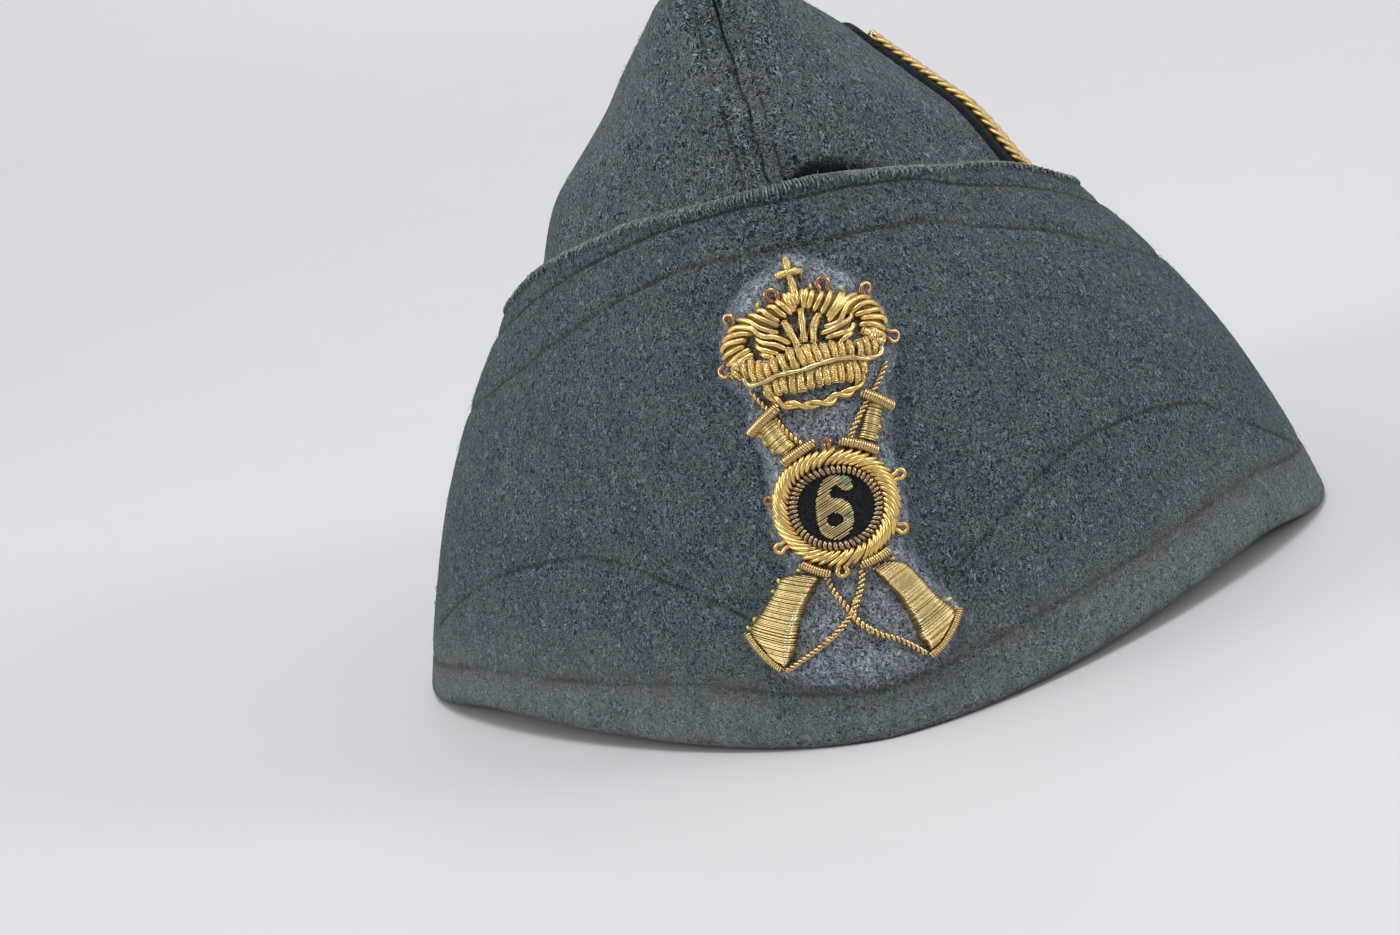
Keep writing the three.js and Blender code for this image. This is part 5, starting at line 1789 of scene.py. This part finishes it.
RIGHT_RIFLE = Rifle(
    side=Side.RIGHT, muzzle_string=((12.4, 21.5), (10.7, 19.3), (8.8, 17.2)),
    muzzle_band=((7.1, 17.7), (9.4, 16), (11.6, 14.2)),
    fore=((7.9, 16.1), (10.4, 14.4), (8.9, 10.6), (8.3, 9.1), (5.1, 10.4)), fore_slope=-30,
    fore_cord=((7.9, 16.1), (6.4, 14.5), (4, 11)),
    middle_band=((2.4, 10.7), (5.2, 9.4), (7.7, 7.7)),
    neck_band=((2.1, -10.1), (4.4, -9.6), (6.6, -8.7)),
    butt=((3.7, -11), (5.3, -10.7), (7.3, -10.7), (8.8, -11.4), (10.1, -12.9), (11.3, -15),
          (12.8, -17.5), (14.1, -19.3), (15.3, -20.5), (15.9, -21.9), (14.7, -23.4),
          (13.2, -25.1), (11.6, -26.4), (10.6, -27), (9.8, -25.7), (8.9, -24.5), (8.9, -23.1),
          (8.3, -21.1), (7.6, -19), (6.8, -16.7), (5.6, -14.8), (4.7, -13.1)),
    butt_slope=24,
    plate=((16.7, -21.8), (15.3, -23.8), (13.6, -25.7), (11.9, -27.1), (10.3, -27.9)),
    sling=((2, -11), (1.5, -13.5), (.4, -16.2), (-.8, -18.5), (-2.9, -20.6), (-5.7, -22.6),
           (-8.9, -24.5), (-13, -26.8)), sling_lift=1.0, flipped=True)


@dataclass
class Shield:
    """The round shield: a bullion ring, a dark purl, a black disc and the numeral."""

    strands: int = 50
    inner: float = 7.0
    outer: float = 9.9
    wide: float = 1.02
    slant: float = .42
    thick: float = .385
    pad: float = 1.25
    purl_turns: int = 51
    purl_radius: float = 6.35
    six: tuple = (
        (3, 2.8), (2.5, 4.4), (1.3, 5.2), (-.3, 5.3), (-1.6, 4), (-2.7, 1.3), (-3, -1.9),
        (-2.6, -4.1), (-1, -5.2), (.7, -4.8), (2, -3.2), (2.3, -1), (1.9, .5), (.9, 1.4),
        (-.3, 1.8), (-.4, 2.8), (.5, 3.6), (1.4, 2.7), (2.6, 2.3))
    six_hole: Point = (-.4, -1.9)
    six_hole_radius: float = 1.1
    green: tuple = (((.7, 4.3), (2, 5)), ((1, 3.95), (2.5, 4.75)), ((1.5, 3.8), (2.7, 4.45)),
                    ((1.7, 3.45), (2.9, 4.1)), ((.9, -1.3), (1.9, -.8)), ((1.2, -1.7), (2, -1.3)))

    def ring(self, bench: Bench) -> None:
        """The ring of slanted strands over a pad."""
        rng = np.random.default_rng(8)
        t = np.linspace(0, 1, 18)
        turn = lerp(t, smoothstep(t, 0, 1), .6)
        threads = []
        for k in range(self.strands):
            start = 2 * math.pi * k / self.strands + rng.normal(0, .006)
            angle = start - self.slant * (1 + .22 * math.sin(2 * start + 1)) * turn
            radius = lerp(self.inner, self.outer + rng.normal(0, .08), t)
            z = WORK + self.thick * .7 + self.pad * np.sin(math.pi * t) ** .8
            path = np.column_stack([radius * self.wide * np.cos(angle), radius * np.sin(angle), z])
            threads.append(Thread(path, self.thick * rng.uniform(.95, 1.05),
                                  shade=rng.uniform(0, 1)))
        ring = bench.pad("badge_ring_strands", threads, bench.bullion, 9, .2, ring=True)
        settle(ring, ["badge_ring"])

    def build(self, bench: Bench) -> None:
        """Makes the shield."""
        self.ring(bench)
        angle = np.linspace(0, 2 * math.pi, 400)[:-1]
        circle = np.column_stack([self.purl_radius * self.wide * np.cos(angle),
                                  self.purl_radius * np.sin(angle), 0 * angle + WORK + .62])
        pitch = path_length(np.vstack([circle, circle[:1]]))[-1] / self.purl_turns
        coil = bench.wind("badge_purl_wound", [Thread(circle, .55, closed=True)], bench.dark,
                          Wire=.34, Pitch=pitch, Steps=14, Sides=7)
        settle(coil, ["badge_purl_ring"])
        hole = [(self.six_hole[0] + self.six_hole_radius * math.cos(a),
                 self.six_hole[1] + self.six_hole_radius * math.sin(a))
                for a in np.linspace(0, 2 * math.pi, 24)[:-1]]
        six = Satin("badge_number_satin", [closed_spline(self.six, .15), hole], 27,
                    Table((0, .2, .8, 1), (0, 1, 1, 0)), .3, WORK + .85, .35, .155, points=9)
        settle(bench.sew(six.name, six.threads(), bench.pale, 5), ["badge_number"])
        threads = [Thread(lifted(spline(ends, .3), WORK + 1.24), .12) for ends in self.green]
        settle(bench.sew("badge_number_green", threads, bench.green, 6))


@dataclass
class WireLoops:
    """Loops of copper wire that stand out round the badge."""

    wire: float = .4
    radius: float = .86
    ring_wire: float = .38
    ring_radius: float = .74
    copper_radius: float = .56
    on_crown: tuple = (
        ((-11, 33), (-10.4, 32.1), (-11.4, 31.3)), ((-3.5, 36.2), (-3.4, 34.9), (-2.4, 35)),
        ((-13.8, 24.5), (-13.8, 25.8), (-12.8, 24.3)), ((14.6, 25), (13.3, 26.5), (13.1, 25.3)),
        ((11.1, 33.7), (9.8, 33.5), (11.8, 31.9)), ((4.3, 36.4), (3.6, 34.9), (5, 34.9)))
    gilt_on_ring: tuple = ((10.8, 3), (9.5, -5.8), (-9.9, -5.6), (-.7, -10.7))
    copper_on_ring: tuple = ((-10.3, 2.5), (.3, 10.9))
    gap: float = 48

    def loop(self, middle: Point, first: Point, last: Point, radius: float,
             wire: float) -> Thread:
        """One loop, its two ends held in the work."""
        centre, a, b = (np.array(p, float) for p in (middle, first, last))
        back = (a + b) / 2 - centre
        heading = math.atan2(back[1], back[0])
        swing = math.radians(self.gap)
        side = 1 if np.cross(back, a - b) < 0 else -1
        turn = heading - side * np.linspace(-swing, -2 * math.pi + swing, 22)
        ring = centre + radius * np.column_stack([np.cos(turn), np.sin(turn)])
        if np.linalg.norm(ring[0] - a) > np.linalg.norm(ring[-1] - a):
            ring = ring[::-1]
        path = lifted(spline(np.vstack([a, ring, b]), .18), WORK + wire * 1.1, .35)
        return Thread(path, wire, shade=.4)

    def beside_ring(self, place: Point, radius: float) -> Thread:
        """A loop that stands out from the ring."""
        out = np.array(place) / math.hypot(*place)
        side = np.array((-out[1], out[0])) * .5
        foot = out * 9.3
        return self.loop(place, tuple(foot + side), tuple(foot - side), radius, self.ring_wire)

    def build(self, bench: Bench) -> None:
        """Makes the loops."""
        loops = [self.loop(*places, self.radius, self.wire) for places in self.on_crown]
        loops += [self.beside_ring(place, self.copper_radius) for place in self.copper_on_ring]
        settle(bench.sew("wire_loops_copper", loops, bench.copper, 9))
        loops = [self.beside_ring(place, self.ring_radius) for place in self.gilt_on_ring]
        settle(bench.sew("wire_loops_gilt", loops, bench.gilt, 9))


@dataclass
class YellowCore:
    """Ends of the yellow core thread that show beside the gilt."""

    places: tuple[Point, ...] = (
        (-7.5, -9.6), (-11.3, -11.2), (-12.7, -12.9), (-17.2, -17.8), (-18.7, -19.3), (7, -10.3),
        (15.2, -19.6), (16.2, -21.5), (-2.2, -14.7), (.4, -15.9), (-4.9, -21.8), (1.7, -21.5),
        (-9.6, 13.6), (-9, 12.3), (-7.9, 10.9), (-5.8, 13), (-4.8, 11.4), (8.9, 11.5), (8.1, 10),
        (-5.8, 35), (7, 34.9), (2.5, 36.4), (-12.6, 23.7), (5.2, 18.6))

    def build(self, bench: Bench) -> None:
        """Makes the ends."""
        rng = np.random.default_rng(31)
        threads = []
        for place in self.places:
            heading = rng.uniform(0, math.pi)
            reach = np.array([math.cos(heading), math.sin(heading)]) * rng.uniform(.25, .45)
            flat = np.array([place - reach, place, place + reach])
            path = np.column_stack([flat, [WORK + .2, WORK + .65, WORK + .4]])
            threads.append(Thread(spline(path, .12), .26, shade=rng.uniform(0, .5)))
        yellow = Yarn("yellow_core", linear(250, 232, 84), linear(222, 202, 60), 1).make()
        settle(bench.sew("yellow_core_ends", threads, yellow, 7))


def dress_disc() -> None:
    """Gives the shield's disc its black felt."""
    felt = Wool("black_felt", dark=linear(12, 13, 15), middle=linear(30, 31, 34),
                light=linear(72, 72, 74), beige=linear(58, 54, 50), fleck=.5, paleness=.5)
    bpy.data.objects["badge_disc"].material_slots[0].material = felt.make()


def make_badge(bench: Bench) -> None:
    """Makes the badge on its bench."""
    FeltPatch().build(bench)
    EmbroideredCrown().build(bench)
    LEFT_RIFLE.build(bench)
    RIGHT_RIFLE.build(bench)
    Shield().build(bench)
    WireLoops().build(bench)
    YellowCore().build(bench)


# ---- stitching and fuzz ----


@dataclass(frozen=True)
class Yarn:
    """Dyed thread or loose fibre."""

    name: str
    color: Color
    other: Color
    spot: float = 3

    def make(self) -> Material:
        """Builds the material."""
        s = Shader(self.name)
        mixed = s.noise(self.spot, 2, .6).between(.38, .62)
        fine = s.noise(.25, 2).between(.35, .65)
        color = s.blend(mixed, self.color, self.other)
        color = s.blend(s.attribute("shade") * .5, color, tuple(c * .5 for c in self.other))
        return s.surface(Base_Color=color, Roughness=.85, Sheen_Weight=.15,
                         Normal=s.bump(fine, .03, .8))


@dataclass
class Stitching:
    """The sewn lines of the cloth and the overcast edge of the turn-up."""

    sunk: float = .12
    overcast_pitch: float = .62
    overcast_thick: float = .19
    overcast_drop: float = 1.95
    roll: float = 1.5

    def line(self, angle: Array, height: Array) -> Thread:
        """A line on the turn-up."""
        points = FORM.turn_up(angle, height, self.sunk + .25)
        normal = FORM.normal(angle, height / FORM.ridge_height(angle))
        return Thread(points, 1, rounded=False, up=normal)

    def turn_up_lines(self, stitches: Stitches, material: Material) -> None:
        """The lines of the turn-up."""
        angle = np.linspace(-math.pi, math.pi, 1200)
        edge, degrees = FORM.edge_height(angle), np.degrees(angle)
        lines = [self.line(angle, edge - FIRST_DROP(degrees)),
                 self.line(angle, edge - SECOND_DROP(degrees)),
                 self.line(angle, LOWEST_LINE(degrees))]
        for arc in ARCS:
            part = angle[(degrees > arc.places[0]) & (degrees < arc.places[-1])]
            lines.append(self.line(part, arc(np.degrees(part))))
        stitches.work(line_object("turn_up_stitches", lines), material, "wool_turn_up",
                      Pitch=2.3, Length=1.7)

    def topstitch_line(self, side: int) -> Thread:
        """The line beside the crown's seam, up the front, along the valley and down the back."""
        turn = np.linspace(0, math.pi, 1441)
        levels = np.concatenate([np.linspace(.56, 1, 120), np.linspace(1, 1.72, 300)[1:]])
        front, back = [], []
        for level in levels:
            angle = side * turn
            points = FORM.crown(angle, np.full_like(turn, level), .25)
            off = side * (points[:, 0] - FORM.centre_x(angle, min(level, 1))) - TOPSTITCH[side]
            crossing = np.nonzero(np.diff(np.sign(off)))[0]
            if len(crossing) < 2:
                break
            for store, k in ((front, crossing[0]), (back, crossing[-1])):
                share = off[k] / (off[k] - off[k + 1])
                store.append((side * lerp(turn[k], turn[k + 1], share), level))
        route = np.array(front + back[::-1])
        points = FORM.crown(route[:, 0], route[:, 1], self.sunk)
        points[:, 0] += FORM.seam_drift(route[:, 0], route[:, 1]) * math.exp(-TOPSTITCH[side] / 8)
        return Thread(points, 1, rounded=False, up=FORM.normal(route[:, 0], route[:, 1]))

    def overcast(self, bench: Bench, material: Material) -> None:
        """Yarn whipped over the edge of the turn-up."""
        rng = np.random.default_rng(21)
        fine = np.linspace(-math.pi, math.pi, 4001)
        edge_line = FORM.turn_up(fine, FORM.edge_height(fine))
        gone = path_length(edge_line)
        count = int(gone[-1] / self.overcast_pitch)
        spots = (np.arange(count) + rng.uniform(-.12, .12, count)) * gone[-1] / count
        angle = np.interp(spots, gone, fine)
        turn = np.radians(self.overcast_pitch * .42)
        bend = np.radians([25, 50, 95, 140, 175])
        reach = self.roll + self.overcast_thick * .7
        drop = np.concatenate([self.overcast_drop - np.array([0, .35, .7]),
                               self.roll - reach * np.sin(bend), [2.4]])
        depth = np.concatenate([[-.2, -.6, -.6], self.roll - reach * np.cos(bend),
                                [2 * self.roll - .2]])
        lean = np.linspace(-.5, .5, len(drop)) * turn
        threads = []
        for a in angle:
            around = a + lean * rng.uniform(.2, 2) + rng.normal(0, turn * .3)
            low = drop + rng.normal(0, .35) * np.array([1, .8, .3, 0, 0, 0, 0, 0, 0])
            path = FORM.turn_up(around, FORM.edge_height(around) - low, depth)
            threads.append(Thread(spline(path, .75), self.overcast_thick * rng.uniform(.6, 1.15),
                                  shade=rng.uniform(0, 1)))
        bench.strands.work(line_object("turn_up_overcast", threads), material, "wool_turn_up",
                           Sides=5)

    def build(self, bench: Bench) -> None:
        """Makes the stitching."""
        stitches = Stitches()
        brown = Yarn("brown_thread", linear(82, 58, 48), linear(44, 37, 37)).make()
        self.turn_up_lines(stitches, brown)
        lines = [self.topstitch_line(1), self.topstitch_line(-1)]
        stitches.work(line_object("crown_stitches", lines), brown, "wool", Pitch=2.5, Length=1.8,
                      Width=.3, Height=.2)
        grey = Yarn("overcast_yarn", linear(144, 151, 149), linear(46, 60, 68), .5).make()
        self.overcast(bench, grey)


@dataclass
class Fuzz:
    """Loose fibres on cloth, thickest in front."""

    density: float = .6

    def grow(self, name: str, sections: Array, fuzz: Array, material: Material,
             slot: str, **sizes: float | int) -> None:
        """Grows fibres on a lattice of points.

        Args:
            name: The piece's name.
            sections: The lattice, in millimetres.
            fuzz: How many grow at each of its points, about 1 at most.
            material: Their finish.
            slot: Not used.
            sizes: The tree's inputs.
        """
        piece = lattice(name, sections / MM, marks={"fuzz": fuzz})
        Fibres().work(piece, material, slot, **sizes)

    def build(self) -> None:
        """Makes the fibres of the wool."""
        pale = Yarn("pale_fibre", linear(116, 130, 134), linear(132, 126, 110), 2).make()
        sizes = {"Density": self.density, "Length": 1.1, "Curl": .9, "Thick": .038}
        angle = np.radians(np.linspace(-95, 95, 191))[:, None]
        heights = FORM.edge_height(angle) * np.linspace(.01, 1, 60)[None, :]
        fuzz = .15 + .85 * bell(np.degrees(angle), 38) + 0 * heights
        self.grow("turn_up_fuzz", FORM.turn_up(angle, heights), fuzz, pale, "wool_turn_up", **sizes)
        for name, side in (("crown_fuzz_left", 1), ("crown_fuzz_right", -1)):
            angle = np.radians(np.linspace(.5, 80, 80)[::side] * side)[:, None]
            level = np.linspace(.7, 1.05, 30)[None, :]
            fuzz = .1 + .9 * bell(np.degrees(angle), 40) + 0 * level
            above = level * FORM.ridge_height(angle) - FORM.edge_height(angle)
            fuzz = fuzz * (1 - FORM.beside_badge(angle) * (1 - smoothstep(above, 3, 6)))
            self.grow(name, FORM.crown(angle, level), fuzz, pale, "wool", **sizes)


@dataclass
class RankStrip:
    """The black cloth on the wearer's left of the crown, with a plait of gold on it."""

    angle: float = 81
    foot: float = 69
    top: float = 104
    width: float = 13
    thick: float = .9
    plait_top: float = 101.5
    plait_width: float = 5.2
    plait_turn: float = 7.5
    strands: int = 5
    strand: float = .52

    def build(self, bench: Bench) -> None:
        """Makes the strip."""
        wall = Wall(FORM.crown_at, math.radians(self.angle), (-9, 9), (64, 108))
        self.backing(wall)
        heights = np.arange(self.foot, self.plait_top, .4)
        threads = []
        for k in range(self.strands):
            turn = 2 * math.pi * (heights / self.plait_turn + k / self.strands)
            reach = self.plait_width / 2 - self.strand
            path = wall.lay(reach * np.sin(turn), heights,
                            self.thick + self.strand * (1.2 + .8 * np.sin(2 * turn)))
            threads.append(Thread(path, self.strand, shade=k / self.strands))
        lace = Metal("gold_lace", (.8, .58, .22), winding=.3, winding_depth=.05).make()
        bench.strands.work(line_object("rank_plait", threads), lace, "lace", ["rank_lace"],
                           Sides=10)

    def backing(self, wall: Wall) -> None:
        """The black cloth, its edges rounded down to the crown."""
        across = self.width / 2 * np.sin(np.linspace(-math.pi / 2, math.pi / 2, 41))
        up = np.linspace(self.foot, self.top, 90)
        x, y = np.meshgrid(across, up)
        near = np.minimum(self.width / 2 - np.abs(x), self.top - y)
        upper = wall.lay(x, y, .1 + self.thick * np.sqrt(smoothstep(near, -.05, 1)))
        lower = wall.lay(x, y, 0 * x - .3)[:, ::-1]
        sections = np.hstack([upper, lower])
        black = Wool("black_cloth", dark=linear(14, 16, 18), middle=linear(34, 37, 40),
                     light=linear(70, 74, 76), beige=linear(60, 58, 54), fleck=.5,
                     paleness=.5).make()
        settle(loft("rank_cloth", sections, black), ["rank_backing"])


# ---- the studio ----


@dataclass
class Studio:
    """A pale floor that sweeps up behind, soft lights and the camera.

    The camera looks at a target from an azimuth and an elevation in degrees. aside says how far
    right of and above the view's middle the target is seen, for each unit of distance.
    """

    target: Place = (0, -105.5, 39)
    azimuth: float = 2
    elevation: float = 12
    roll: float = 13
    distance: float = 750
    lens: float = 117.642857
    aside: Point = (.0301639, -.0088525)
    floor_color: Color = linear(200, 199, 201)
    floor_grain: Color = linear(193, 193, 196)
    floor_width: float = 7000
    sweep: float = 1200

    def backdrop(self) -> None:
        """The floor, one sheet that sweeps up far behind the cap."""
        s = Shader("studio_paper")
        grain = s.noise(60, 2).between(.3, .7)
        color = s.blend(grain * .1, self.floor_color, self.floor_grain)
        material = s.surface(Base_Color=color, Roughness=.8)
        near, back, low, high = -2500, 1400, -.1, 3500
        profile = [(near, low)] + [
            (back + self.sweep * math.sin(a), self.sweep * (1 - math.cos(a)) + low)
            for a in np.linspace(0, math.pi / 2, 24)] + [(back + self.sweep, high)]
        sides = [[(x, y, z) for y, z in profile] for x in (-self.floor_width / 2,
                                                           self.floor_width / 2)]
        lattice("floor", np.array(sides), material)

    def area_light(self, name: str, place: Place, size: float, power: float,
                   aim_at: Place = (0, -.05, .06)) -> None:
        """A soft square light.

        Args:
            name: Its name.
            place: Where it stands, in metres.
            size: Its side, in metres.
            power: Its power in watts.
            aim_at: The place that it faces, in metres.
        """
        data = bpy.data.lights.new(name, "AREA")
        data.size, data.energy = size, power
        light = bpy.data.objects.new(name, data)
        light.location = place
        aim = np.array(place) - np.array(aim_at)
        light.rotation_mode = "QUATERNION"
        light.rotation_quaternion = Vector(aim).to_track_quat("Z", "Y")
        bpy.context.scene.collection.objects.link(light)

    def room(self) -> None:
        """The room's own light: pale above, dimmer low down and towards the camera."""
        world = bpy.data.worlds.new("room")
        world.use_nodes = True
        graph = Graph(world.node_tree)
        graph.tree.nodes.clear()
        way = graph.add("ShaderNodeTexCoord", output="Generated")
        parts = graph.add("ShaderNodeSeparateXYZ", {0: way})
        height, ahead = graph.other(parts, "Z"), graph.other(parts, "Y")
        level = height.between(-.4, .8) * .5 + ahead.between(-.9, .2) * .3 + .2
        color = graph.add("ShaderNodeMix", {
            0: height.between(-.2, 1), 6: (1, .985, .985, 1), 7: (.96, .97, 1, 1)}, 2,
            data_type="RGBA")
        light = graph.add("ShaderNodeBackground", {"Color": color, "Strength": level})
        graph.add("ShaderNodeOutputWorld", {"Surface": light})
        bpy.context.scene.world = world

    def lights(self) -> None:
        """The room's light, and soft boxes above, at both sides and behind."""
        self.room()
        self.area_light("above", (-.1, -.55, 1.9), .8, 14)
        self.area_light("left", (-1.75, -.75, .8), .8, 10)
        self.area_light("right", (1.75, -.75, .8), .8, 11)
        self.area_light("behind", (.15, 1.9, 1.2), .7, 8, (.15, 1.8, 0))

    def camera(self) -> None:
        """The camera, turned so that the target stands aside from the view's middle."""
        az, el, roll = (math.radians(a) for a in (self.azimuth, self.elevation, self.roll))
        back = np.array([math.sin(az) * math.cos(el), -math.cos(az) * math.cos(el), math.sin(el)])
        right = unit(np.cross((0, 0, 1), back))
        up = np.cross(back, right)
        right, up = (right * math.cos(roll) - up * math.sin(roll),
                     right * math.sin(roll) + up * math.cos(roll))
        towards = unit(back + right * self.aside[0] + up * self.aside[1])
        side = unit(np.cross(up, towards))
        above = np.cross(towards, side)
        data = bpy.data.cameras.new("camera")
        data.lens = self.lens
        data.clip_start, data.clip_end = .01, 20
        camera = bpy.data.objects.new("camera", data)
        place = (np.array(self.target) + back * self.distance) * MM
        matrix = np.eye(4)
        matrix[:3, 0], matrix[:3, 1], matrix[:3, 2], matrix[:3, 3] = side, above, towards, place
        camera.matrix_world = Matrix(matrix.tolist())
        bpy.context.scene.collection.objects.link(camera)
        bpy.context.scene.camera = camera

    def build(self) -> None:
        """Sets up the studio."""
        self.camera()
        self.lights()
        self.backdrop()
        bpy.context.scene.view_settings.view_transform = "Standard"


def main() -> None:
    """Builds the cap in order."""
    logging.basicConfig(level=logging.INFO, format="%(message)s")
    Studio().build()
    Cloth().build()
    bench = Bench()
    make_badge(bench)
    Stitching().build(bench)
    Fuzz().build()
    RankStrip().build(bench)
    dress_disc()
    bpy.context.view_layer.update()


if __name__ == "__main__":
    main()
